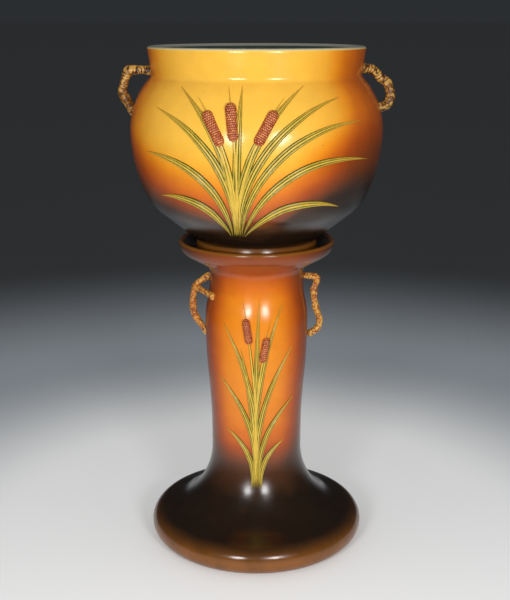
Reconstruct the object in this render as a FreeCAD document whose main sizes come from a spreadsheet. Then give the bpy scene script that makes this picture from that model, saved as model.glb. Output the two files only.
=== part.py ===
"""A ceramic jardiniere standing on its pedestal.

The pedestal stands on the floor with its axis on Z and its foot at Z = 0. The bowl stands on the
pedestal's deck by its own weight. Two luted twig handles are on each piece, left and right, and each
piece carries a raised spray of rush blades and bulrush heads, front and back. The front faces -Y.
Every length is in millimetres and every angle in degrees.
"""

import FreeCAD, Part
import math
import os
import re

import Sketcher

Vector = FreeCAD.Vector

SIZES = [
    # Pedestal: base and flare. Heights stack from the floor upward.
    ("base_roll", 22.0, "radius of the rolled edge of the base"),
    ("disc_width", 17.2, "width of the sloped top of the base, inside its rolled edge"),
    ("disc_slope", 15.0, "angle of that top below the level"),
    ("skirt_curve", 55.0, "radius of the hollow where the flare runs out on the base"),
    ("flare_curve", 110.0, "radius of the flare under the column"),
    ("flare_sweep", 50.0, "angle that the flare turns through"),
    # Pedestal: column
    ("waist_radius", 67.6, "radius of the column just above the flare"),
    ("waist_length", 21.6, "length of the straight waist"),
    ("swell", 8.4, "how far the column swells above the waist"),
    ("swell_length", 177.0, "height from the waist to the widest part of the column"),
    ("taper", 6.9, "how far the column draws in again to its collar"),
    ("taper_length", 60.0, "height from the widest part to the collar"),
    ("collar_length", 14.0, "length of the straight collar under the rim"),
    ("pedestal_wall", 9.0, "thickness of the pedestal's wall"),
    # Pedestal: dished rim
    ("rim_fillet", 14.0, "radius of the hollow between collar and rim"),
    ("rim_slope", 60.0, "angle of the rim's underside from the upright"),
    ("rim_edge", 20.0, "radius of the rim's rounded outer edge, under the lip"),
    ("rim_lip", 3.4, "radius of the rounded lip of the rim"),
    ("dish_width", 11.6, "width of the slope from the lip down to the deck"),
    ("deck_depth", 14.8, "depth of the deck under the top of the rim"),
    ("deck_margin", 7.0, "clearance on the deck round the bowl's foot"),
    ("deck_thickness", 10.0, "thickness of the deck"),
    ("deck_hole", 30.0, "radius of the hole in the middle of the deck"),
    # Bowl: heights stack from the foot upward
    ("foot_radius", 88.0, "radius of the bowl's foot ring"),
    ("foot_height", 17.5, "height of the foot ring"),
    ("foot_ring", 12.0, "width of the foot ring"),
    ("foot_recess", 5.0, "depth of the recess inside the foot ring"),
    ("foot_round", 2.5, "radius of the foot ring's lower edge"),
    ("foot_curve", 45.0, "radius of the foot ring's swelling outside"),
    ("bowl_wall", 7.5, "thickness of the bowl's wall"),
    ("floor_height", 16.0, "height of the bowl's inside floor above its foot"),
    ("foot_ledge", 0.5, "width of the ledge between the foot ring and the underside"),
    ("under_slope", 51.5, "angle of the underside from the upright"),
    ("bilge_curve", 58.0, "radius between underside and side"),
    ("side_curve", 212.0, "radius of the side below the widest part"),
    ("side_sweep", 26.0, "angle that the side turns through"),
    ("belly_radius", 178.3, "radius of the bowl at its widest"),
    ("shoulder_curve", 105.0, "radius of the shoulder above the widest part"),
    ("neck_fillet", 8.0, "radius of the hollow between shoulder and neck"),
    ("neck_inset", 31.1, "how far the neck is drawn in from the widest part"),
    ("neck_length", 33.8, "height from the neck's narrowest part to the lip"),
    ("neck_slope", 8.2, "angle at which the neck leans out from the upright"),
    # Twig handles
    ("bowl_twig", 7.5, "radius of the bowl's twig handles"),
    ("bowl_handle_stand", 17.7, "how far they stand out past the belly"),
    ("bowl_handle_rise", 11.7, "height of their upper root above the top of the shoulder"),
    ("bowl_handle_low", 29.0, "height of their lower root above the widest part"),
    ("pedestal_twig", 5.8, "radius of the pedestal's twig handles"),
    ("pedestal_handle_stand", 24.0, "how far they stand out past the column"),
    ("pedestal_handle_rise", 6.0, "height of their upper root above the collar's lower end"),
    ("pedestal_handle_low", 17.0, "depth of their lower root under the column's widest part"),
    # Raised sprays
    ("reed_relief", 3.0, "how far blades and stems stand out from the wall"),
    ("bowl_blade", 11.0, "width of a blade on the bowl"),
    ("pedestal_blade", 8.0, "width of a blade on the pedestal"),
    ("bowl_stem", 4.6, "width of a stem on the bowl"),
    ("pedestal_stem", 3.8, "width of a stem on the pedestal"),
    ("head_proud", 1.5, "how far a bulrush head's centre line lies out of the wall"),
    ("bowl_head", 8.0, "radius of a bulrush head on the bowl"),
    ("bowl_head_length", 50.0, "length of a bulrush head on the bowl"),
    ("pedestal_head", 6.2, "radius of a bulrush head on the pedestal"),
    ("pedestal_head_length", 38.0, "length of a bulrush head on the pedestal"),
]

# Corners of the two outlines that follow from the sizes above. _x is a radius and _y a height.
LAYOUT = [
    ("skirt_x", "waist_radius + flare_curve * (1 - cos(flare_sweep))"
                " + skirt_curve * (cos(flare_sweep) - sin(disc_slope))"),
    ("base_radius", "skirt_x + disc_width + base_roll * (1 - sin(disc_slope))"),
    ("roll_x", "skirt_x + disc_width"),
    ("roll_y", "base_roll * (1 + cos(disc_slope))"),
    ("skirt_y", "roll_y + disc_width * tan(disc_slope)"),
    ("flare_x", "waist_radius + flare_curve * (1 - cos(flare_sweep))"),
    ("flare_y", "skirt_y + skirt_curve * (cos(disc_slope) - sin(flare_sweep))"),
    ("waist_low", "flare_y + flare_curve * sin(flare_sweep)"),
    ("waist_y", "waist_low + waist_length"),
    ("swell_x", "waist_radius + swell / 2"),
    ("swell_y", "waist_y + swell_length / 2"),
    ("swell_bend", "(swell_length ^ 2 + swell ^ 2) / (4 * swell)"),
    ("column_radius", "waist_radius + swell"),
    ("column_y", "waist_y + swell_length"),
    ("taper_x", "column_radius - taper / 2"),
    ("taper_y", "column_y + taper_length / 2"),
    ("taper_bend", "(taper_length ^ 2 + taper ^ 2) / (4 * taper)"),
    ("collar_radius", "column_radius - taper"),
    ("collar_y", "column_y + taper_length"),
    ("collar_top", "collar_y + collar_length"),
    ("rim_root_x", "collar_radius + rim_fillet * (1 - cos(rim_slope))"),
    ("rim_root_y", "collar_top + rim_fillet * sin(rim_slope)"),
    ("deck_radius", "foot_radius + deck_margin"),
    ("rim_radius", "deck_radius + dish_width + 2 * rim_lip"),
    ("rim_under_x", "rim_radius - rim_edge * (1 - cos(rim_slope))"),
    ("rim_under_y", "rim_root_y + (rim_under_x - rim_root_x) / tan(rim_slope)"),
    ("rim_low", "rim_under_y + rim_edge * sin(rim_slope)"),
    ("deck_y", "rim_low + rim_lip - deck_depth"),
    ("deck_under", "deck_y - deck_thickness"),
    ("skirt_in_x", "skirt_x - pedestal_wall * sin(disc_slope)"),
    ("skirt_in_y", "skirt_y - pedestal_wall * cos(disc_slope)"),
    ("foot_in_y", "skirt_in_y - (skirt_x - skirt_in_x) * tan(disc_slope)"),
    ("flare_in_x", "flare_x - pedestal_wall * cos(flare_sweep)"),
    ("flare_in_y", "flare_y - pedestal_wall * sin(flare_sweep)"),
    ("side_x", "belly_radius - side_curve * (1 - cos(side_sweep))"),
    ("bilge_x", "side_x - bilge_curve * (cos(side_sweep) - cos(under_slope))"),
    ("foot_top_x", "foot_radius - foot_curve + sqrt(foot_curve ^ 2 - (foot_height - foot_round) ^ 2)"),
    ("under_x", "foot_radius + foot_ledge"),
    ("bilge_y", "foot_height + (bilge_x - under_x) / tan(under_slope)"),
    ("side_y", "bilge_y + bilge_curve * (sin(under_slope) - sin(side_sweep))"),
    ("belly_y", "side_y + side_curve * sin(side_sweep)"),
    ("neck_radius", "belly_radius - neck_inset"),
    ("shoulder_core", "belly_radius - shoulder_curve"),
    ("neck_core", "neck_radius + neck_fillet - shoulder_core"),
    ("neck_y", "belly_y + sqrt((shoulder_curve + neck_fillet) ^ 2 - neck_core ^ 2)"),
    ("shoulder_share", "shoulder_curve / (shoulder_curve + neck_fillet)"),
    ("shoulder_x", "shoulder_core + neck_core * shoulder_share"),
    ("shoulder_y", "belly_y + (neck_y - belly_y) * shoulder_share"),
    ("neck_low_x", "neck_radius + neck_fillet * (1 - cos(neck_slope))"),
    ("neck_low_y", "neck_y + neck_fillet * sin(neck_slope)"),
    ("lip_y", "neck_y + neck_length"),
    ("lip_x", "neck_low_x + (lip_y - neck_low_y) * tan(neck_slope)"),
    ("neck_in_x", "neck_low_x - bowl_wall * cos(neck_slope)"),
    ("neck_in_y", "neck_low_y + bowl_wall * sin(neck_slope)"),
    ("side_in_x", "side_x - bowl_wall * cos(side_sweep)"),
    ("side_in_y", "side_y + bowl_wall * sin(side_sweep)"),
    ("bilge_in_x", "bilge_x - bowl_wall * cos(under_slope)"),
    ("bilge_in_y", "bilge_y + bowl_wall * sin(under_slope)"),
    ("floor_x", "bilge_in_x - (bilge_in_y - floor_height) * tan(under_slope)"),
    ("shoulder_in", "(shoulder_curve - bowl_wall) / (shoulder_curve + neck_fillet)"),
    ("shoulder_in_x", "shoulder_core + neck_core * shoulder_in"),
    ("shoulder_in_y", "belly_y + (neck_y - belly_y) * shoulder_in"),
]

# A twig's centre line. The first number runs from 0 at the collar or neck to 1 at the handle's
# outermost point, and the second from 0 at the lower root to 1 at the upper root.
BOWL_TWIG_LEFT = [
    (-0.12, 0.96), (0.62, 0.97), (0.80, 0.90), (1.00, 0.46), (0.88, 0.24), (0.66, -0.02), (0.45, -0.14),
]
BOWL_TWIG_RIGHT = [
    (-0.12, 1.03), (0.30, 0.98), (0.60, 0.80), (0.88, 0.63), (1.00, 0.33), (0.88, 0.11), (0.50, 0.00),
]
PEDESTAL_TWIG_LEFT = [
    (-0.15, 1.00), (0.20, 0.97), (0.84, 0.80), (1.00, 0.46), (0.84, 0.24), (0.24, -0.01), (0.00, -0.06),
]
PEDESTAL_TWIG_RIGHT = [
    (-0.15, 1.00), (0.77, 0.96), (0.63, 0.72), (0.76, 0.42), (1.00, 0.18), (0.87, 0.03), (0.30, -0.10),
]
ROD_SHARE = 0.88  # a rod's radius beside its knuckles
PRONG_FROM = 2  # the point of the pedestal's left twig where its side prong leaves
PRONG_TURN = 29.0  # how far round the column, toward the front, the prong's root lies
PRONG_DROP = 8.0  # how far the prong's root lies under the point that it leaves

# A leaf or stem, seen from the front: its root and its tip, and how far it bows to the left of the
# straight line between them, as a share of that line. The first number of a point runs from -1 to 1
# over the wall's width, and the second from 0 to 1 over the height that the spray fills.
BOWL_BLADES = [
    ((-0.19, 0.10), (-0.72, 0.34), -0.20),
    ((-0.18, 0.10), (-0.83, 0.60), -0.20),
    ((-0.17, 0.10), (-0.74, 0.86), -0.17),
    ((-0.16, 0.10), (-0.55, 0.98), -0.11),
    ((-0.15, 0.10), (-0.30, 0.76), -0.04),
    ((-0.14, 0.10), (-0.10, 0.99), 0.02),
    ((-0.13, 0.10), (0.34, 0.99), 0.13),
    ((-0.12, 0.10), (0.60, 0.92), 0.18),
    ((-0.11, 0.10), (0.78, 0.78), 0.21),
    ((-0.10, 0.10), (0.84, 0.55), 0.22),
    ((-0.09, 0.10), (0.62, 0.28), 0.20),
]
BOWL_STEMS = [
    ((-0.16, 0.10), (-0.42, 0.93), -0.09),
    ((-0.14, 0.10), (-0.20, 0.99), -0.02),
    ((-0.12, 0.10), (0.20, 0.93), 0.10),
]
PEDESTAL_BLADES = [
    ((-0.12, 0.12), (-0.66, 0.38), -0.16),
    ((-0.09, 0.12), (-0.80, 0.62), -0.12),
    ((-0.06, 0.12), (-0.70, 0.86), -0.08),
    ((-0.03, 0.12), (-0.34, 0.76), -0.03),
    ((0.00, 0.12), (0.06, 0.97), 0.01),
    ((0.03, 0.12), (0.56, 0.95), 0.06),
    ((0.06, 0.12), (0.78, 0.76), 0.09),
    ((0.09, 0.12), (0.80, 0.52), 0.13),
    ((0.12, 0.12), (0.60, 0.33), 0.16),
]
PEDESTAL_STEMS = [
    ((-0.04, 0.12), (-0.30, 0.97), -0.03),
    ((0.02, 0.12), (0.30, 0.88), 0.04),
]
HEAD_TOP = 0.90  # where a bulrush head ends, as a share of its stem's length
BEYOND = 50.0  # how far past a form its cutting blocks and sight lines start
HEAD_STEP = 0.02  # steps along the stem, as shares of it, in which the head's length is measured
MOST_SOLID = 0.7  # a turned body keeps less than this share of its form once it is hollowed
WORD = r"[a-z_]+"  # a size's name within a formula


def driving_sizes(doc):
    """The sheet that holds every size that can be set by itself."""
    sheet = doc.addObject("Spreadsheet::Sheet", "Sizes")
    for row, (name, value, meaning) in enumerate(SIZES, start=1):
        sheet.set(f"A{row}", name)
        sheet.set(f"B{row}", str(value))
        sheet.set(f"C{row}", meaning)
        sheet.setAlias(f"B{row}", name)
    doc.recompute()
    return sheet


def derived_sizes(doc):
    """The places and radii that are worked out from the sheet."""
    layout = doc.addObject("App::VarSet", "Layout")
    driving = [name for name, _, _ in SIZES]
    for name, formula in LAYOUT:
        layout.addProperty("App::PropertyFloat", name, "Layout", name.replace("_", " "))
        bound = re.sub(WORD, lambda word: f"Sizes.{word[0]}" if word[0] in driving else word[0], formula)
        layout.setExpression(name, bound)
    doc.recompute()
    return layout


class Values:
    """Looks a size up by name, in the sheet or among the derived ones."""

    def __init__(self, sheet, layout):
        self.sheet = sheet
        self.layout = layout
        self.owner = {name: "Sizes" for name, _, _ in SIZES}
        self.owner.update({name: "Layout" for name, _ in LAYOUT})

    def __getattr__(self, name):
        if self.owner[name] == "Layout":
            return getattr(self.layout, name)
        return float(self.sheet.get(name))

    def formula(self, text):
        """A short formula such as 'lip_x - bowl_wall', with each name bound to its owner."""

        def bind(word):
            return f"{self.owner[word[0]]}.{word[0]}" if word[0] in self.owner else word[0]

        return re.sub(WORD, bind, text)

    def number(self, text):
        return float(self.layout.evalExpression(self.formula(text)))


def origin_plane(body, role):
    return next(item for item in body.Origin.OriginFeatures if item.Role == role)


def arc_between(start, end, radius, turn):
    """The shorter arc from start to end; turn is 1 where it bends left, and -1 where it bends right."""
    middle = (start + end) / 2
    chord = end - start
    reach = math.sqrt(max(radius**2 - (chord.Length / 2) ** 2, 0.0))
    left = Vector(-chord.y, chord.x, 0).normalize()
    centre = middle + left * reach * turn
    first, last = (start, end) if turn > 0 else (end, start)
    angles = [math.atan2(p.y - centre.y, p.x - centre.x) for p in (first, last)]
    return Part.ArcOfCircle(Part.Circle(centre, Vector(0, 0, 1), radius), *angles)


def draw_outline(body, name, values, corners):
    """A closed sketch in the plane of radius and height.

    Each corner is (radius, height) or (radius, height, bend, turn), where bend is the radius of the
    arc that leads to it from the corner before, and turn is 1 where that arc swells and -1 where it
    is hollow. The first corner is reached last, by a straight line.
    """
    sketch = body.newObject("Sketcher::SketchObject", name)
    sketch.AttachmentSupport = [(origin_plane(body, "XZ_Plane"), "")]
    sketch.MapMode = "FlatFace"
    places = [Vector(values.number(c[0]), values.number(c[1]), 0) for c in corners]
    ends = []
    bends = []
    for index, corner in enumerate(corners):
        after = corners[(index + 1) % len(corners)]
        start, end = places[index], places[(index + 1) % len(corners)]
        if len(after) == 2:
            edge = sketch.addGeometry(Part.LineSegment(start, end), False)
            ends.append((edge, 1, 2))
        else:
            bend, turn = after[2], after[3]
            edge = sketch.addGeometry(arc_between(start, end, values.number(bend), turn), False)
            ends.append((edge, 1, 2) if turn > 0 else (edge, 2, 1))
            bends.append((edge, bend))
    for index, (edge, first, last) in enumerate(ends):
        following, its_first, _ = ends[(index + 1) % len(ends)]
        sketch.addConstraint(Sketcher.Constraint("Coincident", edge, last, following, its_first))
    for index, (edge, first, _) in enumerate(ends):
        for kind, axis, text in (("DistanceX", -2, corners[index][0]), ("DistanceY", -1, corners[index][1])):
            if text == "0":
                sketch.addConstraint(Sketcher.Constraint("PointOnObject", edge, first, axis))
                continue
            constraint = Sketcher.Constraint(kind, -1, 1, edge, first, values.number(text))
            number = sketch.addConstraint(constraint)
            sketch.setExpression(f"Constraints[{number}]", values.formula(text))
    for edge, bend in bends:
        number = sketch.addConstraint(Sketcher.Constraint("Radius", edge, values.number(bend)))
        sketch.setExpression(f"Constraints[{number}]", values.formula(bend))
    return sketch


def turned_body(doc, label, values, outside, hollow):
    """A body of revolution about Z, with the inside turned out of it."""
    body = doc.addObject("PartDesign::Body", label)
    body.Label = label
    sketch = draw_outline(body, label + "_outside", values, outside)
    solid = body.newObject("PartDesign::Revolution", label + "_form")
    solid.Profile = sketch
    solid.ReferenceAxis = (sketch, ["V_Axis"])
    solid.Angle = 360
    sketch = draw_outline(body, label + "_inside", values, hollow)
    cut = body.newObject("PartDesign::Groove", label + "_hollow")
    cut.Profile = sketch
    cut.ReferenceAxis = (sketch, ["V_Axis"])
    cut.Angle = 360
    doc.recompute()
    assert cut.Shape.Volume < MOST_SOLID * solid.Shape.Volume, label + " isn't hollow"
    return body, solid


def pedestal(doc, values):
    outside = [
        ("0", "0"),
        ("base_radius - base_roll", "0"),
        ("base_radius", "base_roll", "base_roll", 1),
        ("base_radius - base_roll + base_roll * sin(disc_slope)", "roll_y", "base_roll", 1),
        ("skirt_x", "skirt_y"),
        ("flare_x", "flare_y", "skirt_curve", -1),
        ("waist_radius", "waist_low", "flare_curve", -1),
        ("waist_radius", "waist_y"),
        ("swell_x", "swell_y", "swell_bend", -1),
        ("column_radius", "column_y", "swell_bend", 1),
        ("taper_x", "taper_y", "taper_bend", 1),
        ("collar_radius", "collar_y", "taper_bend", -1),
        ("collar_radius", "collar_top"),
        ("rim_root_x", "rim_root_y", "rim_fillet", -1),
        ("rim_under_x", "rim_under_y"),
        ("rim_radius", "rim_low", "rim_edge", 1),
        ("rim_radius - rim_lip", "rim_low + rim_lip", "rim_lip", 1),
        ("rim_radius - 2 * rim_lip", "rim_low", "rim_lip", 1),
        ("deck_radius", "deck_y"),
        ("0", "deck_y"),
    ]
    hollow = [
        ("0", "0"),
        ("skirt_x", "0"),
        ("skirt_x", "foot_in_y"),
        ("skirt_in_x", "skirt_in_y"),
        ("flare_in_x", "flare_in_y", "skirt_curve + pedestal_wall", -1),
        ("waist_radius - pedestal_wall", "waist_low", "flare_curve + pedestal_wall", -1),
        ("waist_radius - pedestal_wall", "waist_y"),
        ("swell_x - pedestal_wall", "swell_y", "swell_bend", -1),
        ("column_radius - pedestal_wall", "column_y", "swell_bend", 1),
        ("taper_x - pedestal_wall", "taper_y", "taper_bend", 1),
        ("collar_radius - pedestal_wall", "collar_y", "taper_bend", -1),
        ("collar_radius - pedestal_wall", "deck_under"),
        ("deck_hole", "deck_under"),
        ("deck_hole", "deck_y + deck_thickness"),
        ("0", "deck_y + deck_thickness"),
    ]
    return turned_body(doc, "pedestal_column", values, outside, hollow)


def bowl(doc, values):
    outside = [
        ("0", "foot_recess"),
        ("foot_radius - foot_ring", "foot_recess"),
        ("foot_radius - foot_ring", "0"),
        ("foot_radius - foot_round", "0"),
        ("foot_radius", "foot_round", "foot_round", 1),
        ("foot_top_x", "foot_height", "foot_curve", 1),
        ("under_x", "foot_height"),
        ("bilge_x", "bilge_y"),
        ("side_x", "side_y", "bilge_curve", 1),
        ("belly_radius", "belly_y", "side_curve", 1),
        ("shoulder_x", "shoulder_y", "shoulder_curve", 1),
        ("neck_low_x", "neck_low_y", "neck_fillet", -1),
        ("lip_x", "lip_y"),
        ("lip_x - bowl_wall / 2", "lip_y + bowl_wall / 2", "bowl_wall / 2", 1),
        ("lip_x - bowl_wall", "lip_y", "bowl_wall / 2", 1),
        ("0", "lip_y"),
    ]
    hollow = [
        ("0", "floor_height"),
        ("floor_x", "floor_height"),
        ("bilge_in_x", "bilge_in_y"),
        ("side_in_x", "side_in_y", "bilge_curve - bowl_wall", 1),
        ("belly_radius - bowl_wall", "belly_y", "side_curve - bowl_wall", 1),
        ("shoulder_in_x", "shoulder_in_y", "shoulder_curve - bowl_wall", 1),
        ("neck_in_x", "neck_in_y", "neck_fillet + bowl_wall", -1),
        ("lip_x - bowl_wall", "lip_y"),
        ("lip_x - bowl_wall", "lip_y + bowl_wall"),
        ("0", "lip_y + bowl_wall"),
    ]
    return turned_body(doc, "jardiniere_bowl", values, outside, hollow)


def add_shape(doc, label, shape):
    """A sub-part whose shape is worked out here, because it lies freely on a curved wall."""
    part = doc.addObject("Part::Feature", label)
    part.Label = label
    part.Shape = shape
    return part


def twig(points, radius):
    """A bent twig: a rod along each stretch and a knuckle, a little thicker, at each bend."""
    pieces = [Part.makeSphere(radius, point) for point in points]
    for start, end in zip(points, points[1:]):
        along = end - start
        pieces.append(Part.makeCylinder(radius * ROD_SHARE, along.Length, start, along))
    return pieces[0].fuse(pieces[1:])


def twig_points(shares, side, inner, outer, low, high):
    """Places a twig's shares between two radii and two heights; side is -1 at left and 1 at right."""
    return [Vector(side * (inner + (outer - inner) * out), 0, low + (high - low) * up) for out, up in shares]


def handles(doc, values, bowl_form, pedestal_form):
    """The four twig handles, each seated on the wall that it is luted to."""
    on_bowl = (
        values.shoulder_x,
        values.belly_radius + values.bowl_handle_stand - values.bowl_twig,
        values.belly_y + values.bowl_handle_low,
        values.shoulder_y + values.bowl_handle_rise,
    )
    on_pedestal = (
        values.collar_radius,
        values.column_radius + values.pedestal_handle_stand - values.pedestal_twig,
        values.column_y - values.pedestal_handle_low,
        values.collar_y + values.pedestal_handle_rise,
    )
    made = []
    for label, shares, side in (
        ("jardiniere_handle_left", BOWL_TWIG_LEFT, -1),
        ("jardiniere_handle_right", BOWL_TWIG_RIGHT, 1),
    ):
        rod = twig(twig_points(shares, side, *on_bowl), values.bowl_twig)
        made.append(add_shape(doc, label, rod.cut(bowl_form)))
    for label, shares, side in (
        ("pedestal_handle_left", PEDESTAL_TWIG_LEFT, -1),
        ("pedestal_handle_right", PEDESTAL_TWIG_RIGHT, 1),
    ):
        points = twig_points(shares, side, *on_pedestal)
        rod = twig(points, values.pedestal_twig)
        if side < 0:
            fork = points[PRONG_FROM]
            turn = math.radians(PRONG_TURN)
            root = Vector(-math.cos(turn), -math.sin(turn), 0) * values.collar_radius
            root.z = fork.z - PRONG_DROP
            rod = rod.fuse(twig([fork, root], values.pedestal_twig))
        made.append(add_shape(doc, label, rod.cut(pedestal_form)))
    return made


def bowed_point(start, end, bow, share):
    """A point on the arc from start to end that bows to the left of the straight line."""
    chord = end - start
    left = Vector(-chord.z, 0, chord.x)
    if not bow:
        return start + chord * share
    half = chord.Length / 2
    rise = bow * chord.Length
    radius = (half**2 + rise**2) / (2 * rise)
    middle = start + chord / 2
    unit = left / left.Length
    centre = middle - unit * (radius - rise)
    spread = math.asin(half / abs(radius))
    angle = (1 - 2 * share) * spread
    along = chord / chord.Length
    return centre + unit * radius * math.cos(angle) - along * abs(radius) * math.sin(angle)


def leaf_face(start, end, bow, width):
    """A flat leaf between two arcs, pointed at both ends and as wide as width in the middle."""
    length = (end - start).Length
    edges = []
    for side in (-1, 1):
        middle = bowed_point(start, end, bow + side * width / (2 * length), 0.5)
        edges.append(Part.Arc(start, middle, end).toShape())
    return Part.Face(Part.Wire(edges))


def swollen(form_sketch, height):
    """The turned form again, larger by height all round; only its front half is needed."""
    face = Part.Face(form_sketch.Shape.Wires[0])
    face.translate(Vector(height, 0, 0))
    return face.revolve(Vector(0, 0, 0), Vector(0, 0, 1), -180)


def on_wall(form, place, reach, proud):
    """Moves a point of the front view back to stand proud of the form's front."""
    ray = Part.makeLine(Vector(place.x, -reach, place.z), Vector(place.x, 0, place.z))
    met = Vector(place.x, ray.common(form).BoundBox.YMin, place.z)
    outward = Vector(met.x, met.y, 0)
    return met + outward / outward.Length * proud


def head(form, stem, radius, length, proud, reach):
    """A bulrush head, nearly half sunk in the wall, that lies along its stem."""
    share = HEAD_TOP
    top = on_wall(form, bowed_point(*stem, share), reach, proud)
    bottom = top
    while (bottom - top).Length < length and share > 0:
        share -= HEAD_STEP
        bottom = on_wall(form, bowed_point(*stem, share), reach, proud)
    along = (bottom - top) / (bottom - top).Length
    turned = radius * math.sqrt(0.5)
    outline = [
        Part.Arc(Vector(0, 0, 0), Vector(turned, 0, radius - turned), Vector(radius, 0, radius)).toShape(),
        Part.makeLine(Vector(radius, 0, radius), Vector(radius, 0, length - radius)),
        Part.Arc(
            Vector(radius, 0, length - radius),
            Vector(turned, 0, length - radius + turned),
            Vector(0, 0, length),
        ).toShape(),
        Part.makeLine(Vector(0, 0, length), Vector(0, 0, 0)),
    ]
    rod = Part.Face(Part.Wire(outline)).revolve(Vector(0, 0, 0), Vector(0, 0, 1), 360)
    rod.Placement = FreeCAD.Placement(top, FreeCAD.Rotation(Vector(0, 0, 1), along))
    return rod


def spray(doc, values, prefix, form_sketch, form, blades, stems, frame, widths, head_size):
    """The raised spray on one wall: front, and the same turned to the back."""
    across, low, high = frame
    reach = form.BoundBox.YMax + BEYOND

    def place(point):
        return Vector(point[0] * across, 0, low + (high - low) * point[1])

    lines = [[(place(root), place(tip), bow) for root, tip, bow in leaves] for leaves in (blades, stems)]
    rods = Part.Compound([head(form, stem, *head_size, reach) for stem in lines[1]])
    faces = [leaf_face(*leaf, width) for leaves, width in zip(lines, widths) for leaf in leaves]
    blocks = [face.extrude(Vector(0, -reach, 0)) for face in faces]
    block = blocks[0].fuse(blocks[1:])
    reeds = block.common(swollen(form_sketch, values.reed_relief)).cut(form).cut(rods)
    made = []
    for kind, shape in (("reeds", reeds), ("heads", rods.cut(form))):
        for where, turn in (("front", 0), ("back", 180)):
            copy = shape.copy()
            copy.rotate(Vector(0, 0, 0), Vector(0, 0, 1), turn)
            made.append(add_shape(doc, f"{prefix}_{where}_{kind}", copy))
    return made


def sprays(doc, values, bowl_form, pedestal_form):
    on_bowl = spray(
        doc, values, "jardiniere", doc.getObject("jardiniere_bowl_outside"), bowl_form,
        BOWL_BLADES, BOWL_STEMS,
        (values.belly_radius, values.foot_height, values.shoulder_y),
        (values.bowl_blade, values.bowl_stem),
        (values.bowl_head, values.bowl_head_length, values.head_proud),
    )
    on_pedestal = spray(
        doc, values, "pedestal", doc.getObject("pedestal_column_outside"), pedestal_form,
        PEDESTAL_BLADES, PEDESTAL_STEMS,
        (values.waist_radius, values.flare_y, values.collar_y),
        (values.pedestal_blade, values.pedestal_stem),
        (values.pedestal_head, values.pedestal_head_length, values.head_proud),
    )
    return on_bowl, on_pedestal


def lift_to_deck(values, parts):
    """Stands what was drawn about the bowl's foot on the pedestal's deck."""
    for part in parts:
        part.setExpression("Placement.Base.z", values.formula("deck_y"))


def check(doc, parts):
    for item in doc.Objects:
        bad = [word for word in ("Invalid", "Error") if word in item.State]
        assert not bad, f"{item.Label}: {item.State}"
    for part in parts:
        assert not part.Shape.isNull(), part.Label + " has no shape"
        assert part.Shape.isValid(), part.Label + " isn't valid"
        assert part.Shape.Solids, part.Label + " has no solid"


def write(parts):
    os.makedirs("parts", exist_ok=True)
    for part in parts:
        part.Shape.exportStep(f"parts/{part.Label}.step")
        box = part.Shape.BoundBox
        print(
            f"{part.Label:28s} {len(part.Shape.Solids)} solids  {part.Shape.Volume / 1000:9.1f} cm3"
            f"  x {box.XMin:.1f}..{box.XMax:.1f}  y {box.YMin:.1f}..{box.YMax:.1f}"
            f"  z {box.ZMin:.1f}..{box.ZMax:.1f}"
        )


def main():
    doc = FreeCAD.newDocument("Jardiniere")
    values = Values(driving_sizes(doc), derived_sizes(doc))
    stand, stand_form = pedestal(doc, values)
    vessel, vessel_form = bowl(doc, values)
    twigs = handles(doc, values, vessel_form.Shape, stand_form.Shape)
    on_bowl, on_pedestal = sprays(doc, values, vessel_form.Shape, stand_form.Shape)
    lift_to_deck(values, [vessel] + twigs[:2] + on_bowl)
    doc.recompute()
    parts = [stand, vessel] + twigs + on_bowl + on_pedestal
    check(doc, parts)
    write(parts)


main()
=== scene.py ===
"""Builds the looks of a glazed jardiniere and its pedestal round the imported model.

The bowl and the pedestal are turned from the same outlines as the solids. Four twig handles and the
raised rush sprays, front and back, are modelled on their walls. Lengths are in metres, +Z is up and
the front faces -Y. Heights on the bowl count from its foot, which stands on the pedestal's deck.
"""

import math
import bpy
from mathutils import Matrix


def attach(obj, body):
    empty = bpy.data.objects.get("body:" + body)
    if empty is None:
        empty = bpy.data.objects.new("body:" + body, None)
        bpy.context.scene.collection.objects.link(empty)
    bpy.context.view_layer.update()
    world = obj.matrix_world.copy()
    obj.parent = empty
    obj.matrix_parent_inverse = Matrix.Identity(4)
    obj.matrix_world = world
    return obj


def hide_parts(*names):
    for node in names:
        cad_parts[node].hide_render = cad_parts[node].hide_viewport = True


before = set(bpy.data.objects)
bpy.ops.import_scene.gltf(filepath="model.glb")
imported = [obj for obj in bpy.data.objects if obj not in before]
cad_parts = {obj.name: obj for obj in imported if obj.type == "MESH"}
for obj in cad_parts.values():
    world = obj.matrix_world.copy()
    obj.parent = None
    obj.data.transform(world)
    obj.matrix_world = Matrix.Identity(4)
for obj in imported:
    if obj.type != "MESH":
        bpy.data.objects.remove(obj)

from types import SimpleNamespace

import bmesh
import bpy
import numpy as np
from mathutils import Vector, noise

bl_info = {
    "name": "Jardiniere on Pedestal",
    "version": (1, 0, 0),
    "blender": (4, 5, 0),
    "location": "View3D > Sidebar > Jardiniere",
    "description": "Glazed jardiniere with twig handles and rush sprays on a flared pedestal",
    "category": "Object",
}

MM = 0.001
FRONT_AND_BACK = (("front", 0.0), ("back", math.pi))
LEFT, RIGHT = -1, 1


# ---------------------------------------------------------------- properties

def length(name, description, default):
    return bpy.props.FloatProperty(
        name=name, description=description, default=default * MM,
        min=0.0, subtype="DISTANCE", unit="LENGTH", precision=4,
    )


def angle(name, description, default):
    return bpy.props.FloatProperty(
        name=name, description=description, default=math.radians(default), subtype="ANGLE", unit="ROTATION",
    )


def share(name, description, default):
    return bpy.props.FloatProperty(
        name=name, description=description, default=default, min=0.0, max=2.0, subtype="FACTOR",
    )


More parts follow.
